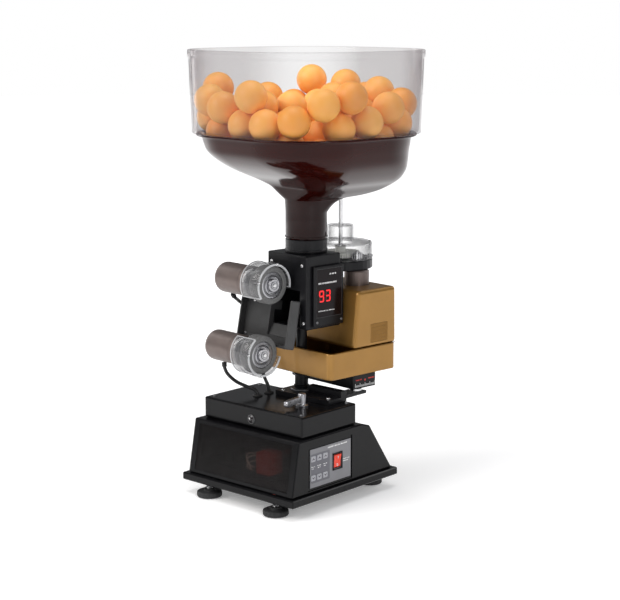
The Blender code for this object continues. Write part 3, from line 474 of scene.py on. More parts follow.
def make_studio():
    bpy.context.scene.view_settings.view_transform = "Standard"
    world = bpy.data.worlds.new("Studio")
    bpy.context.scene.world = world
    world.use_nodes = True
    nodes, links = world.node_tree.nodes, world.node_tree.links
    seen = nodes["Background"]
    seen.inputs["Color"].default_value = (1, 1, 1, 1)
    seen.inputs["Strength"].default_value = 1.0
    felt = nodes.new("ShaderNodeBackground")
    felt.inputs["Color"].default_value = (0.96, 0.97, 1.0, 1)
    felt.inputs["Strength"].default_value = 0.2
    path = nodes.new("ShaderNodeLightPath")
    either = nodes.new("ShaderNodeMath")
    either.operation = "MAXIMUM"
    links.new(path.outputs["Is Camera Ray"], either.inputs[0])
    links.new(path.outputs["Is Transmission Ray"], either.inputs[1])
    mix = nodes.new("ShaderNodeMixShader")
    links.new(either.outputs[0], mix.inputs[0])
    links.new(felt.outputs[0], mix.inputs[1])
    links.new(seen.outputs[0], mix.inputs[2])
    links.new(mix.outputs[0], nodes["World Output"].inputs["Surface"])

    mesh = bmesh.new()
    bmesh.ops.create_circle(mesh, cap_ends=True, segments=96, radius=9.0)
    data = bpy.data.meshes.new("Floor")
    mesh.to_mesh(data)
    mesh.free()
    floor = bpy.data.objects.new("Floor", data)
    bpy.context.scene.collection.objects.link(floor)
    floor.location.z = -0.0004
    paint = look("floor", (0.94, 0.94, 0.945), 0.6, spread=0.01, patch=2, specular=0.2)
    shader = paint.node_tree.nodes["Principled BSDF"]
    shader.inputs["Emission Color"].default_value = (1, 1, 1, 1)
    nodes, links = paint.node_tree.nodes, paint.node_tree.links
    place = nodes.new("ShaderNodeTexCoord")
    reach = nodes.new("ShaderNodeVectorMath")
    reach.operation = "LENGTH"
    span = nodes.new("ShaderNodeMapRange")
    span.interpolation_type = "SMOOTHSTEP"
    span.inputs["From Min"].default_value = 0.35
    span.inputs["From Max"].default_value = 2.6
    span.inputs["To Min"].default_value = 0.25
    span.inputs["To Max"].default_value = 0.95
    links.new(place.outputs["Object"], reach.inputs[0])
    links.new(reach.outputs["Value"], span.inputs["Value"])
    links.new(span.outputs["Result"], shader.inputs["Emission Strength"])
    data.materials.append(paint)
    lamp("Key", (-0.9, -2.0, 1.7), (0, 0, 0.3), (1.5, 1.5), 46, (1.0, 0.98, 0.95))
    lamp("Fill", (2.1, -0.7, 1.1), (0, 0, 0.3), (0.6, 1.4), 15)
    lamp("Rim", (0.6, 1.9, 1.3), (0, 0, 0.3), (1.2, 0.8), 9)
    lamp("Left", (-1.9, 0.1, 0.8), (0, 0, 0.25), (0.4, 1.4), 7)
    lamp("Top", (0.1, -0.2, 2.4), (0, 0, 0.3), (1.6, 1.6), 27)


# --- hopper and balls -----------------------------------------------------------------------------------
BOWL = [(450.0, 118.0, 118.0, 118.0, 88.0, 88.0), (440.0, 115.8, 115.5, 117.7, 87.0, 87.0),
        (430.0, 112.0, 111.0, 117.5, 84.0, 84.0), (418.0, 105.0, 94.5, 117.3, 74.0, 74.0),
        (406.0, 91.0, 70.0, 116.8, 54.0, 54.0), (394.0, 73.0, 41.0, 116.0, 36.0, 38.0),
        (385.0, 54.0, 27.5, 111.5, 27.5, 24.0), (377.0, 40.0, 27.2, 102.0, 27.2, 22.0),
        (372.6, 32.0, 27.0, 84.0, 27.0, 22.0), (370.2, 28.0, 26.8, 57.0, 26.8, 24.0),
        (366.0, 27.0, 26.7, 42.0, 26.7, 25.0), (361.0, 26.6, 26.5, 33.5, 26.5, 25.5),
        (354.0, 26.3, 26.3, 26.3, 26.3, 26.3)]
WALL = 2.8
COLLAR_HALF = (128.0, 130.8)
COLLAR_Z = (453.3, 555.0)
FLANGE = (124.4, 94.0)


def bowl_section(share):
    """The bowl's (height, half, front, back, near, far) at a share of the way down its list, smoothly."""
    i = min(int(share), len(BOWL) - 2)
    t = share - i
    a, b, c, d = (np.array(BOWL[min(max(k, 0), len(BOWL) - 1)]) for k in (i - 1, i, i + 1, i + 2))
    low, high = np.minimum(b, c), np.maximum(b, c)
    return np.clip(0.5 * (2 * b + (c - a) * t + (2 * a - 5 * b + 4 * c - d) * t ** 2
                          + (3 * b - a - 3 * c + d) * t ** 3), low, high)


def bowl_ring(section, wall=0.0, steps=18):
    """The bowl's outline at a section, a wall's thickness inside it."""
    half, front, back, near, far = (float(v) - wall for v in section[1:])
    return rounded(half, front, back, min(near, half, front), min(far, half, (front + back) / 2), steps)


def bowl_lift(height):
    """How much higher the inside of the bowl is than its outside, which falls off towards the neck."""
    return WALL * min(1.0, max(0.0, (height - 354.0) / 16.0))


def make_hopper():
    steps = 18
    shares = np.linspace(0, len(BOWL) - 1, 61)
    flange, corner = FLANGE
    top = BOWL[0]
    levels = [(bowl_ring(top, WALL), 453.0),
              (rounded(*[flange - 0.5] * 3, *[corner - 0.5] * 2, steps), 453.0),
              (rounded(*[flange] * 3, *[corner] * 2, steps), 452.4),
              (rounded(*[flange] * 3, *[corner] * 2, steps), 450.6),
              (rounded(*[flange - 0.6] * 3, *[corner - 0.6] * 2, steps), 450.0),
              (rounded(*[119.2] * 3, *[89.2] * 2, steps), 450.0),
              (rounded(*[118.1] * 3, *[88.1] * 2, steps), 449.2)]
    outside = [bowl_section(s) for s in shares[2:]]
    levels += [(bowl_ring(s), float(s[0])) for s in outside]
    levels += [(bowl_ring(BOWL[-1]), z) for z in (346.0, 323.0)]
    levels += [(bowl_ring(BOWL[-1], 0.6), 321.6), (bowl_ring(BOWL[-1], WALL), 321.6),
               (bowl_ring(BOWL[-1], WALL), 348.0)]
    for s in reversed(outside):
        levels.append((bowl_ring(s, WALL), float(s[0]) + bowl_lift(s[0])))
    put("bowl_skin", lofted(levels), "smoked_red", "turret", NECK, stands_for=["hopper_bowl"], smooth=55)

    low, high = COLLAR_Z
    wide, top, wall, corner = COLLAR_HALF[0], COLLAR_HALF[1], 2.4, 94.0

    def around(half, grow=0.0):
        return rounded(*[half + grow] * 3, *[corner + half - wide + grow] * 2, steps)

    levels = [(around(118.6), low), (around(wide, -0.7), low), (around(wide), low + 0.7)]
    levels += [(around(wide + (top - wide) * t), low + 2 + (high - 12 - low) * t)
               for t in (0.0, 0.25, 0.5, 0.75, 0.98)]
    levels += [(around(top, 0.3), high - 9.3), (around(top, 1.3), high - 8.4),
               (around(top, 1.4), high - 1.2), (around(top, 0.9), high - 0.3), (around(top, -0.3), high),
               (around(top, 0.3 - wall), high), (around(top, -wall), high - 0.6)]
    levels += [(around(wide + (top - wide) * t, -wall), low + 2.4 + (high - 12 - low) * t)
               for t in (0.98, 0.75, 0.5, 0.25, 0.02)]
    levels += [(around(wide, -wall - 1.0), low + 2.3), (around(118.6), low + 2.3)]
    put("collar_skin", lofted(levels), "clear_wall", "turret", NECK, stands_for=["hopper_collar"], smooth=55)


def hopper_walls():
    """The inside of bowl and collar as one surface, whose faces look inwards."""
    steps = 10
    rings = []
    for share in np.linspace(len(BOWL) - 1, 0, 61):
        section = bowl_section(share)
        rings.append((bowl_ring(section, WALL, steps), float(section[0]) + bowl_lift(section[0])))
    rings += [(rounded(*[125.4] * 3, *[91.6] * 2, steps), 456.0),
              (rounded(*[126.5] * 3, *[91.6] * 2, steps), 700.0)]
    points = [Vector((x, y, z)) for outline, z in rings for x, y in outline]
    count = len(rings[0][0])
    faces = []
    for level in range(len(rings) - 1):
        for i in range(count):
            j = (i + 1) % count
            low, high = level * count, (level + 1) * count
            faces.append((low + i, high + i, high + j, low + j))
    faces.append(tuple(range(count)))
    return BVHTree.FromPolygons(points, faces)


def settle_balls(count, radius, rotor):
    """Rests balls in the hopper: they fall a little, then push apart and off the walls, many times over."""
    walls = hopper_walls()
    pick = random.Random(3)
    place = np.array([[pick.uniform(-75, 75), pick.uniform(-60, 80), 425 + 2.6 * i] for i in range(count)])
    before = place.copy()
    for _ in range(520):
        moved = place + (place - before) * 0.93
        before = place.copy()
        place = moved
        place[:, 2] -= 0.42
        for _ in range(4):
            gap = place[:, None, :] - place[None, :, :]
            far = np.sqrt((gap ** 2).sum(2)) + np.eye(count) * 1e6
            push = np.maximum(0, 2 * radius - far) * 0.5
            place = place + (gap / far[..., None] * push[..., None]).sum(1) * 0.7
            away = place[:, :2] - rotor
            span = np.linalg.norm(away, axis=1) + 1e-6
            near = (place[:, 2] < 393 + radius) & (span < radius + 8.4)
            place[near, :2] += (away / span[:, None] * (radius + 8.4 - span)[:, None])[near]
            for i in range(count):
                point = Vector(place[i])
                spot, normal, _, distance = walls.find_nearest(point)
                if (point - spot).dot(normal) < 0:
                    place[i] = spot + normal * radius
                elif distance < radius:
                    place[i] = spot + (point - spot) * (radius / max(distance, 1e-6))
    kept = []
    for point in map(Vector, place):
        spot, normal, _, distance = walls.find_nearest(point)
        if point.z > 370 and (point - spot).dot(normal) > 0 and distance > radius - 1.5:
            kept.append(point)
    return kept


def make_balls():
    places = settle_balls(88, BALL, np.array([STIRRER[0], STIRRER[1] - NECK_Y]))
    print("balls", len(places), "top", round(max(p.z for p in places) + BALL, 1), flush=True)
    pick = random.Random(4)
    whole = bmesh.new()
    tones = []
    for x, y, z in places:
        matrix = Matrix.Translation((x, y, z)) @ Matrix.Rotation(pick.uniform(0, 6), 4, "X")
        made = bmesh.ops.create_icosphere(whole, subdivisions=4, radius=BALL - 0.15, matrix=matrix)
        tones += [pick.random()] * len(made["verts"])
    balls = put("balls", whole, "ball", "turret", NECK, smooth=80)
    stored = balls.data.attributes.new("tone", "FLOAT", "POINT")
    stored.data.foreach_set("value", tones)


# --- head -----------------------------------------------------------------------------------------------
def make_wheel(name, sign):
    """A driven wheel with its motor and clear guard, which mirrors the other wheel's when sign is -1."""
    at = (0, WHEEL_Y, WHEEL_Z[name])
    body = f"{name}_wheel"
    tyre = [(16.7, -8.4), (17.4, -9.0), (21.2, -9.0), (23.2, -8.3), (23.9, -7.0), (24.0, -4.4),
            (23.4, -4.0), (23.4, -3.4), (24.0, -3.0), (24.0, -0.5), (23.4, 0.0), (24.0, 0.5), (24.0, 3.0),
            (23.4, 3.4), (23.4, 4.0), (24.0, 4.4), (23.9, 7.0), (23.2, 8.3), (21.2, 9.0), (17.4, 9.0),
            (16.7, 8.4)]
    put(f"{name}_tyre_skin", along_x(turned(tyre, 96, ring=True)), "tyre", body, HEAD, at,
        [f"{name}_wheel_tyre"])
    hub = [(2.8, -8.0), (16.4, -8.0), (16.4, 7.9), (15.6, 8.3), (14.9, 8.3), (14.6, 7.2), (12.6, 7.0),
           (12.2, 7.6), (11.6, 8.7), (10.6, 9.0), (9.9, 8.7), (9.6, 7.9), (8.5, 7.9), (8.2, 8.6),
           (8.0, 11.2), (7.6, 11.7), (5.6, 11.7), (5.3, 11.1), (4.7, 11.1), (4.4, 12.2), (2.8, 12.2)]
    put(f"{name}_hub_skin", along_x(turned(hub, 96, ring=True)), "turned_alloy", body, HEAD, at,
        [f"{name}_wheel_hub"])
    ring = [(12.7, 7.4), (14.5, 7.4), (14.5, 7.9), (12.7, 7.9)]
    put(f"{name}_hub_ring", along_x(turned(ring, 96, ring=True)), "dark_alloy", body, HEAD, at)
    spots = [placed(rod(0.9, 6.8, 8.3, 16, 0.2), (10.0 * math.cos(a), 10.0 * math.sin(a), 0.9))
             for a in (math.radians(90 + 120 * k) for k in range(3))]
    put(f"{name}_hub_screws", along_x(merged(*spots)), "dark_alloy", body, HEAD, at)

    low, high = -84.6, -24.9
    can = [(0, low + 0.4), (6, low + 0.4), (6.4, low), (9, low), (9.5, low + 0.8), (15.6, low + 1.3),
           (17.8, low + 2.6), (19.0, low + 4.6), (19.4, low + 7.4), (19.4, high - 11.6),
           (19.1, high - 11.3), (19.1, high - 10.7), (19.4, high - 10.4), (19.4, high - 1.2),
           (18.6, high), (0, high)]
    put(f"{name}_motor_skin", along_x(turned(can, 96)), "motor", "head", HEAD, at, [f"{name}_motor"])
    tabs = [along_x(box((-1.6, 1.6), (-0.35, 0.35), (0, 4.5)), (low - 3.9, side * 9.0, 0))
            for side in (-1, 1)]
    put(f"{name}_motor_tabs", merged(*tabs), "brass", "head", HEAD, at)
    # The vents are darker plates: painted shade in the openings of the motor's end.
    vents = []
    for a in (math.radians(60 * k + 30) for k in range(6)):
        slot = placed(card((-0.3, 0.4), (-2.6, 2.6), (-1.1, 1.1), 1.0), turn=math.degrees(a) + 90, axis="X")
        vents.append(placed(slot, (low + 1.0, 12.6 * math.cos(a), 12.6 * math.sin(a))))
    put(f"{name}_motor_vents", merged(*vents), "motor_vent_shade", "head", HEAD, at)

    inner, outer = 25.6, 27.2
    near, far = -21.2, 12.3
    profile = [(9.0, near), (outer - 0.6, near), (outer, near + 0.6), (outer, far - 0.5),
               (outer - 0.5, far), (inner - 0.8, far), (inner - 1.2, far - 0.4), (inner - 1.2, far - 1.0),
               (inner - 0.8, far - 1.3), (inner, far - 1.5), (inner, near + 2.2),
               (inner - 0.6, near + 1.5), (9.0, near + 1.5)]
    mesh = bmesh.new()
    rings = []
    for i in range(73):
        t = math.radians(GUARD_ARC * i / 72)
        rings.append([mesh.verts.new((px, r * math.cos(t), sign * r * math.sin(t))) for r, px in profile])
    skin(mesh, rings, False)
    mesh.faces.new(rings[0])
    mesh.faces.new(rings[-1])
    put(f"{name}_guard_skin", mesh, "clear", "head", HEAD, at, [f"{name}_wheel_guard"], smooth=50)
    rims = []
    for x0, x1, r0, r1 in ((near - 0.15, near + 1.1, outer - 0.9, outer + 0.1),
                           (far - 0.7, far + 0.15, inner - 1.25, outer - 0.4)):
        mesh = bmesh.new()
        rings = []
        for i in range(73):
            t = math.radians(GUARD_ARC * i / 72)
            rings.append([mesh.verts.new((px, r * math.cos(t), sign * r * math.sin(t)))
                          for r, px in ((r0, x0), (r1, x0), (r1, x1), (r0, x1))])
        skin(mesh, rings, False)
        mesh.faces.new(rings[0])
        mesh.faces.new(rings[-1])
        rims.append(mesh)
    rims += [placed(box((near + 0.4, far - 0.4), (inner - 0.1, outer + 0.1), (-0.35, 0.35)),
                    turn=sign * angle, axis="X")
             for angle in (0.6, 224.4)]
    # The guard rims are near-white: a painted highlight on the clear plastic's edges.
    put(f"{name}_guard_rims", merged(*rims), "clear_edge_highlight", "head", HEAD, at, smooth=50)
    lugs = [placed(box((-2.5, 12.3), (25.2, 28.0), (-2.2, 2.2)), turn=sign * angle, axis="X")
            for angle in (92, 178)]
    put(f"{name}_guard_lugs", merged(*lugs), "clear", "head", HEAD, at, edges=0.6)
    heads = []
    for a in (math.radians(92), math.radians(178)):
        head = turned([(0, 0), (1.7, 0), (1.7, 0.7), (1.2, 1.2), (0, 1.3)], 20)
        heads.append(along_x(placed(head, (0, 0, 12.5)), (0, 26.4 * math.cos(a), sign * 26.4 * math.sin(a))))
    put(f"{name}_guard_screws", merged(*heads), "steel", "head", HEAD, at)


def screw(radius=2.4):
    """A pan-head screw that faces +Z."""
    return turned([(0, -0.6), (radius, -0.6), (radius, 0.35 * radius), (radius * 0.9, 0.52 * radius),
                   (radius * 0.55, 0.66 * radius), (0, 0.7 * radius)], 28)


def cross(radius=2.4):
    """The dark cross on that screw, painted shade where its recess is."""
    arm = radius * 0.62
    top = 0.7 * radius
    return merged(box((-arm, arm), (-radius * 0.11, radius * 0.11), (top - 0.25, top + 0.04)),
                  box((-radius * 0.11, radius * 0.11), (-arm, arm), (top - 0.25, top + 0.04)))


FACING = {"+X": (90, "Y"), "-X": (-90, "Y"), "+Y": (-90, "X"), "-Y": (90, "X"), "+Z": (0, "Z"),
          "-Z": (180, "X")}


def screws(name, spots, facing, body, where, radius=2.4, paint="steel"):
    turn, axis = FACING[facing]
    heads = [placed(screw(radius), turn=23 * i) for i in range(len(spots))]
    slots = [placed(cross(radius), turn=23 * i) for i in range(len(spots))]
    put(name, merged(*[placed(m, s, turn, axis) for m, s in zip(heads, spots)]), paint, body, where)
    # The dark crosses are painted shade in the screw heads' recesses.
    put(f"{name}_slots", merged(*[placed(m, s, turn, axis) for m, s in zip(slots, spots)]), "print_and_shade_dark", body,
        where)


def make_head():
    make_wheel("upper", 1)
    make_wheel("lower", -1)
    screws("shell_screws", [(-40, -26.5, 2.0), (-40, -26.5, -46.3)], "-Y", "head", HEAD, 2.2)
    screws("shell_corner_screws", [(-63, -15.6, 2.0), (-63, -15.6, -43.0), (17.6, -15.6, -43.0)], "-Y",
           "head", HEAD, 2.0, "dark_alloy")
    marks = [box((x, x + wide), (-24.25, -24.02), (-50.4, -49.4))
             for x, wide in ((-52, 3), (-48, 5), (-42, 2), (-39, 6), (-32, 3))]
    put("shell_marks", merged(*marks), "ink_white", "head", HEAD)
    spots = [(-21.7, WHEEL_Y + 11 * c, WHEEL_Z["upper"] + 11 * s)
             for c, s in ((0.7, 0.7), (-0.7, 0.7), (0.7, -0.7), (-0.7, -0.7))]
    screws("bracket_screws_upper", spots, "+X", "head", HEAD, 1.5)


# --- turret ---------------------------------------------------------------------------------------------
SEGMENTS = {"9": "abcdfg", "3": "abcdg"}


def digit(character, y, z, wide, tall, x):
    """The lit and unlit bars of one seven-bar digit facing +X, its lower left corner at (y, z)."""
    bar = tall * 0.115
    half = tall / 2
    spans = {"a": ((y + bar * 0.6, y + wide - bar * 0.6), (z + tall - bar, z + tall)),
             "g": ((y + bar * 0.6, y + wide - bar * 0.6), (z + half - bar / 2, z + half + bar / 2)),
             "d": ((y + bar * 0.6, y + wide - bar * 0.6), (z, z + bar)),
             "b": ((y + wide - bar, y + wide), (z + half + bar * 0.3, z + tall - bar * 0.5)),
             "c": ((y + wide - bar, y + wide), (z + bar * 0.5, z + half - bar * 0.3)),
             "f": ((y, y + bar), (z + half + bar * 0.3, z + tall - bar * 0.5)),
             "e": ((y, y + bar), (z + bar * 0.5, z + half - bar * 0.3))}
    lit, unlit = [], []
    for key, (ys, zs) in spans.items():
        mesh = card(x, ys, zs, bar * 0.42, 3)
        (lit if key in SEGMENTS[character] else unlit).append(mesh)
    return lit, unlit


def marks_row(x, y0, y1, z, tall, seed):
    """A row of short printed bars, in place of lettering."""
    pick = random.Random(seed)
    made = []
    y = y0
    while y < y1 - 0.5:
        wide = min(pick.uniform(0.7, 2.2), y1 - y)
        made.append(box(x, (y, y + wide), (z, z + tall * pick.choice((1.0, 0.75, 1.0)))))
        y += wide + pick.choice((0.45, 0.45, 1.3))
    return made


def make_turret():
    face = (41.42, 41.62)
    lit, unlit = [], []
    for character, y in (("9", -8.3), ("3", 2.6)):
        on, off = digit(character, y, 246.0, 8.2, 14.6, (41.42, 41.75))
        lit += on
        unlit += off
    put("display_digits", merged(*lit), "led_red", "turret", TURRET)
    put("display_bars_off", merged(*unlit), "led_off", "turret", TURRET)
    rows = marks_row(face, -9.5, 21.5, 268.6, 1.9, 3) + marks_row(face, -9.5, 18.0, 234.2, 1.3, 8)
    rows += marks_row(face, 13.0, 20.5, 279.4, 1.7, 5)
    put("display_marks", merged(*rows), "ink_white", "turret", TURRET)
    put("display_sign", merged(prism([(9.0, 279.4), (12.0, 279.4), (10.5, 281.9)], face)), "ink_white",
        "turret", TURRET)
    # Grey lines round the display window: a painted highlight for the housing's bevelled edge.
    put("display_rim_highlight", merged(card((41.3, 41.55), (-12.4, 30.2), (226.6, 227.0), 0.15, 2),
                              card((41.3, 41.55), (-12.4, 30.2), (287.0, 287.4), 0.15, 2),
                              card((41.3, 41.55), (-12.5, -12.1), (226.6, 287.4), 0.15, 2),
                              card((41.3, 41.55), (29.9, 30.3), (226.6, 287.4), 0.15, 2)),
        "case_grey", "turret", TURRET)
    screws("display_screws", [(41.6, y, 221.0) for y in (-11.5, 29.5)], "+X", "turret", TURRET, 1.7,
           "dark_alloy")
    screws("block_screws", [(28.0, -24.5, 292.0), (-28.0, -24.5, 292.0), (30.5, -24.5, 220.0),
                            (-30.5, -24.5, 220.0)], "-Y", "turret", TURRET, 2.3)
    ring = [(23.6, 0), (26.3, 0), (26.8, 0.6), (26.8, 2.4), (26.3, 3.0), (23.6, 3.0)]
    put("neck_clip", turned(ring, 96, ring=True), "satin_black", "turret", NECK, (0, 0, 305.5))
    bead = [(26.2, 0.0), (27.0, 0.5), (27.0, 1.7), (26.2, 2.2)]
    put("neck_bead", turned(bead, 96, ring=True), "smoked_red", "turret", NECK, (0, 0, 322.6))

    put("tower_seam", merged(box((-63.2, 63.2), (104.4, 105.9), (183.55, 183.75)),
                             box((64.0, 64.2), (31.5, 104.5), (183.55, 183.75))),
        "gold_seam_and_shade", "turret", TURRET)
    screws("tower_screws", [(x, 105.8, z) for x in (-54, 54) for z in (192, 244)], "+Y", "turret", TURRET,
           2.4)
    # Darker gold plates where the back slots are: painted shade in their openings.
    slots = [box((-30, 30), (105.2, 105.9), (z, z + 1.6)) for z in (205, 210, 215, 220, 225, 230)]
    put("tower_back_slots", merged(*slots), "gold_seam_and_shade", "turret", TURRET, edges=0.3)
    screws("tray_screws", [(x, y, 149.8) for x in (-52, 52) for y in (4, 92)], "-Z", "turret", TURRET, 2.6)

    ticks = [box((64.0, 64.25), (y - 0.25, y + 0.25), (135.0, 137.6 if k % 5 else 139.6))
             for k, y in enumerate(np.linspace(33, 67, 21))]
    put("sweep_ticks", merged(*ticks), "ink_white", "turret", TURRET)
    put("sweep_sign", merged(prism([(48.5, 144.0), (51.5, 144.0), (50.0, 140.8)], (64.0, 64.25)),
                             *marks_row((64.0, 64.25), 34, 44, 143.5, 1.5, 21),
                             *marks_row((64.0, 64.25), 56, 66, 143.5, 1.5, 22)),
        "ink_red", "turret", TURRET)
    screws("slab_screws", [(x, y, 132.8) for x in (-45, 40) for y in (36, 64)], "-Z", "turret", TURRET, 2.4)

    x, y = STIRRER
    lid = [(41.5, 288.0), (41.5, 289.6), (42.3, 290.0), (42.3, 291.2), (41.3, 291.6), (41.3, 306.6),
           (40.6, 308.2), (39.2, 309.0), (18.0, 309.0), (17.2, 309.8), (17.0, 311.0), (17.0, 329.6),
           (16.2, 330.8), (15.2, 331.0), (3.8, 331.0), (3.8, 329.2), (15.0, 329.0), (15.0, 308.0),
           (16.0, 307.0), (38.9, 307.0), (39.5, 306.2), (39.5, 288.0)]
    put("gear_lid_skin", turned(lid, 96, ring=True), "clear", "turret", TURRET, (x, y, 0),
        ["gear_case_cover"], smooth=45)
    bosses = [placed(turned([(0, 288), (2.6, 288), (2.6, 292.6), (0, 292.6)], 20),
                     (38.0 * math.cos(a), 38.0 * math.sin(a), 0))
              for a in (math.radians(45 + 90 * k) for k in range(4))]
    put("gear_lid_bosses", merged(*bosses), "satin_black", "turret", TURRET, (x, y, 0))
    screws("gear_lid_screws", [(x + 38.0 * math.cos(a), y + 38.0 * math.sin(a), 308.9)
                               for a in (math.radians(45 + 90 * k) for k in range(4))],
           "+Z", "turret", TURRET, 2.0)


# --- base -----------------------------------------------------------------------------------------------
def make_base():
    face = (89.1, 89.3)
    put("panel_band", card((89.08, 89.2), (-60.5, -26.5), (38.5, 75.0), 1.5), "panel_dark", "base")
    rows = marks_row(face, -30, 6, 77.0, 1.6, 31)
    rows += marks_row(face, -1.5, 11.0, 57.0, 1.2, 33)
    rows += marks_row(face, -1.5, 8.0, 54.4, 1.0, 34)
    for number, y in enumerate(KEY_Y):
        rows += marks_row((89.2, 89.32), y - 3.2, y + 3.2, 58.6, 1.1, 41 + number)
        rows += marks_row((89.2, 89.32), y - 2.4, y + 2.4, 56.2, 1.0, 51 + number)
    put("panel_marks", merged(*rows), "ink_white", "base")
    for row, z, up in (("up", 69.0, 1), ("down", 45.0, -1)):
        for number, y in enumerate(KEY_Y, 1):
            body = f"key_{row}_{number}"
            put(f"{body}_cap", card((-4.0, 0.9), (-4.0, 4.0), (-3.5, 3.5), 1.1, 5), "key_grey", body, BASE,
                (89.0, y, z), [body], edges=0.45)
            chevron = [(-2.2, -0.9 * up), (0, 1.4 * up), (2.2, -0.9 * up), (1.5, -1.5 * up),
                       (0, 0.1 * up), (-1.5, -1.5 * up)]
            put(f"{body}_mark", prism(chevron, (0.85, 1.02)), "print_and_shade_dark", body, BASE, (89.0, y, z))
    rocker = [(-6.0, -3.0), (6.0, -3.0), (8.0, 3.0), (7.9, 4.5), (4.0, 3.9), (0.0, 3.1), (-4.0, 2.9),
              (-8.0, 2.9), (-8.0, 1.6)]
    mesh = prism([(z, x) for z, x in rocker], (-6.5, 6.5))
    for vert in mesh.verts:
        vert.co = (vert.co.z, vert.co.x, vert.co.y)
    put("rocker_skin", mesh, "switch_red", "rocker", BASE, ROCKER, ["power_rocker"], edges=0.5)
    zero = [(1.0, -0.1), (1.5, -0.1), (1.5, 0.25), (1.0, 0.25)]
    put("rocker_signs", merged(box((3.9, 4.6), (-0.35, 0.35), (3.4, 6.2)),
                               placed(along_x(turned(zero, 24, ring=True)), (2.9, 0, -5.0))),
        "ink_white", "rocker", BASE, ROCKER)
    tails = [[(8, -72, 62), (2, -76, 60), (-3, -77, 55), (1, -77, 50), (9, -75, 47)],
             [(9, -73, 56), (3, -78, 53), (-2, -78, 47), (6, -76, 43)],
             [(7, -73, 64), (0, -75, 64), (-6, -74, 59), (-7, -70, 50), (-6, -66, 40)]]
    # The pale wire ends glow with painted light.
    put("winding_tails", merged(*[hose(smooth_route(tail, 1.5), 0.6, 8) for tail in tails]), "wire_pale_painted_glow",
        "base")
    # The red turns of the winding glow with painted light.
    ribs = [box((z, z + 0.9), (-73.6, -28.4), (39.4, 66.6)) for z in np.arange(10.0, 31.8, 1.5)]
    put("winding_turns", merged(*ribs), "coil_red", "base", edges=0.3)
    frame_parts = [box((88.9, 90.2), (-21.2, -19.5), (46.6, 68.4)),
                   box((88.9, 90.2), (-4.9, -3.2), (46.6, 68.4)),
                   box((88.9, 90.2), (-21.2, -3.2), (66.7, 68.4)),
                   box((88.9, 90.2), (-21.2, -3.2), (46.6, 48.3))]
    put("rocker_frame", merged(*frame_parts), "satin_black", "base", edges=0.3)

    foot = [(0, 0), (13.6, 0), (15.2, 0.5), (16.0, 1.8), (16.0, 5.6), (15.4, 6.7), (14.2, 7.2),
            (7.6, 7.6), (7.2, 8.2), (7.2, 10.4), (4.0, 10.4)]
    thread = []
    z = 10.4
    while z < 25.6:
        thread += [(3.95, z + 0.1), (3.5, z + 0.6)]
        z += 1.0
    for end, y in (("front", -89.0), ("rear", 89.0)):
        for side, x in (("left", -57.0), ("right", 57.0)):
            body = f"foot_{end}_{side}"
            mesh = turned(foot + [(0, 10.4)], 64)
            for vert in mesh.verts:
                r = math.hypot(vert.co.x, vert.co.y)
                step = round(math.degrees(math.atan2(vert.co.y, vert.co.x)) / 5.625)
                if r > 15.1 and 1.0 < vert.co.z < 6.9 and step % 4 == 0:
                    vert.co.x *= 0.965
                    vert.co.y *= 0.965
            put(f"{body}_pad", mesh, "rubber", body, BASE, (x, y, 0), [body], smooth=30)
            put(f"{body}_stud", turned([(0, 10.0)] + thread + [(3.5, 26.0), (0, 26.0)], 32), "steel", body,
                BASE, (x, y, 0), smooth=20)

    hub = [(0, -9.0), (3.0, -9.0), (3.0, 0.3), (8.0, 0.3), (8.0, 1.8), (7.6, 2.2), (5.6, 2.6), (5.1, 3.4),
           (5.0, 4.2), (5.0, 14.2), (4.6, 15.4), (3.4, 16.2), (1.6, 16.5), (0, 16.5)]
    put("lever_hub", turned(hub, 64), "turned_alloy", "clamp", BASE, LEVER, ["clamp_lever"])
    arm = [(2.5, 13.2), (-8.0, 12.8), (-26.0, 11.9), (-29.6, 10.9), (-31.0, 8.4), (-30.8, 5.0),
           (-29.0, 3.2), (-25.0, 2.9), (-12.0, 4.6), (-3.0, 5.6), (2.5, 6.0)]
    put("lever_arm", prism(arm, (-2.8, 2.8)), "turned_alloy", "clamp", BASE, LEVER, edges=1.3, steps=4)

    ring = [(4.4, -0.2), (6.0, -0.2), (6.0, 0.7), (5.5, 1.1), (4.7, 1.0), (4.4, 0.6)]
    put("receiver_ring", placed(turned(ring, 48, ring=True), turn=90, axis="X"), "case_grey", "base", BASE,
        RECEIVER)
    # A white dot on the receiver's lens: a painted glint.
    put("receiver_painted_glint", placed(rod(1.0, 2.2, 2.75, 16, 0.2), turn=90, axis="X"), "ink_white", "base", BASE,
        (-1.9, -70.3, 106.6))
    screws("deck_screws", [(x, y, 121.2) for x in (-74, 74) for y in (-61, 22)], "+Z", "base", BASE, 2.2,
           "dark_alloy")
    screws("turntable_screws", [(x, y, 127.5) for x, y in ((-14, 2), (-14, 23), (20, 2), (60, 4))], "+Z",
           "base", BASE, 2.4)
    sleeve = [(6.9, 0), (9.6, 0), (9.9, 0.4), (9.9, 2.4), (8.6, 3.2), (8.6, 16.2), (9.9, 17.0),
              (9.9, 18.0), (9.5, 18.4), (6.9, 18.4)]
    put("pivot_sleeve", turned(sleeve, 64, ring=True), "satin_black", "base", BASE, (0, 21, 131.1))
    ring = [(8.8, 0), (13.5, 0), (14.0, 0.5), (14.0, 1.6), (13.4, 2.1), (9.2, 2.1), (8.8, 1.7)]
    put("pivot_ring", turned(ring, 72, ring=True), "dark_alloy", "base", BASE, (0, 21, 127.6))
    screws("plate_screws", [(x, y, 16.6) for x in (-80, 80) for y in (-60, 60)], "-Z", "base", BASE, 3.2)
    screws("body_screws", [(-89.0, y, 80.0) for y in (-60, 20)] + [(-89.0, y, 36.0) for y in (-70, 60)], "-X",
           "base", BASE, 2.4)
    # Dark plates where the side slots are: painted shade in their openings.
    slots = [box((-89.15, -88.4), (y, y + 2.0), (48, 70)) for y in range(-40, 12, 6)]
    put("side_slots", merged(*slots), "print_and_shade_dark", "base", BASE, edges=0.4)
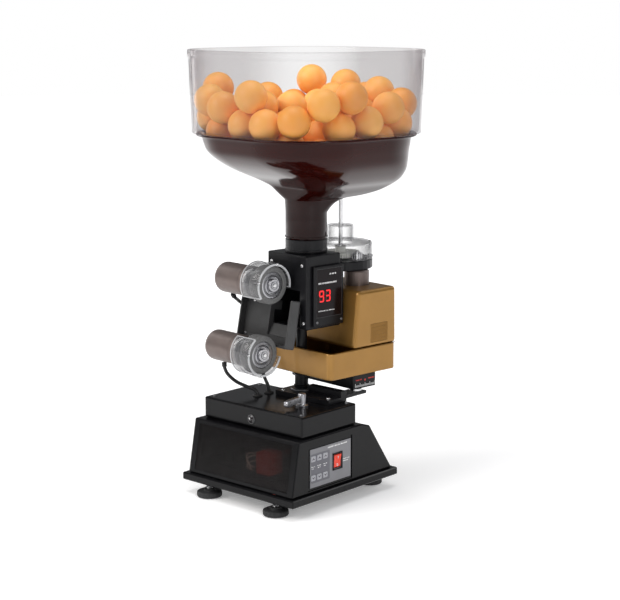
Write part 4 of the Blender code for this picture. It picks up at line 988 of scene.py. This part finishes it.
    # The back wall of the base leans in by 44.1 mm over 63.5 mm of height.
    tilt = math.degrees(math.atan2(94.1 - 50.0, 90.0 - 26.5))
    jack = BASE @ Matrix.Translation((30.0, 78.0, 49.7)) @ Matrix.Rotation(math.radians(-(90 - tilt)), 4, "X")
    put("jack_label", merged(*[box((x, x + 1.6), (-10.6 - 0.9, -10.6), (0.0, 0.15))
                               for x in (-6, -3.4, -0.8, 1.8, 4.4)]), "ink_white", "base", jack)
    put("jack_pin", rod(0.9, -8.6, 0.6, 20, 0.3), "steel", "base", jack)


# --- leads ----------------------------------------------------------------------------------------------
def make_leads():
    """Each motor lead is two halves that meet on the turret, with a rubber boot where it leaves its motor."""
    routes = {
        "lower_motor_lead": [(-66.0, -72.5, 161.9), (-66.0, -72.2, 156.0), (-62.5, -69.5, 147.0),
                             (-54.0, -63.0, 138.0), (-43.0, -55.5, 132.5), (-33.5, -50.2, 129.0),
                             (-29.4, -48.5, 123.0), (-29.2, -48.4, 112.0)],
        "upper_motor_lead": [(-70.0, -54.0, 247.6), (-71.5, -50.0, 243.0), (-76.0, -40.0, 237.0),
                             (-78.0, -29.0, 228.0), (-76.5, -23.5, 212.0), (-69.0, -23.0, 194.0),
                             (-59.0, -25.5, 175.0), (-48.5, -28.0, 157.0), (-38.5, -29.0, 141.0),
                             (-32.6, -28.2, 131.0), (-31.4, -27.8, 123.0), (-31.3, -27.8, 112.0)],
    }
    for name, route in routes.items():
        points = smooth_route(route, 2.0)
        middle = round(len(points) * (0.4 if name.startswith("lower") else 0.5))
        head = put(f"{name}_head_half", hose(points[:middle + 1], 2.2), "lead", None, TURRET)
        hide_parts(name)
        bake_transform(head)
        base = put(f"{name}_base_half", hose(points[middle:], 2.2), "lead", None, TURRET)
        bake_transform(base)
        along = (points[0] - points[3]).normalized()
        boot = hose([points[0] + along * k for k in (-5.0, -4.0, -1.0, 0.6)], 3.1, 20)
        put(f"{name}_boot", boot, "rubber", "head", TURRET, edges=0.5)


def main():
    make_looks()
    paint_nodes()
    make_camera()
    make_studio()
    make_leads()
    make_hopper()
    make_balls()
    make_head()
    make_turret()
    make_base()


main()
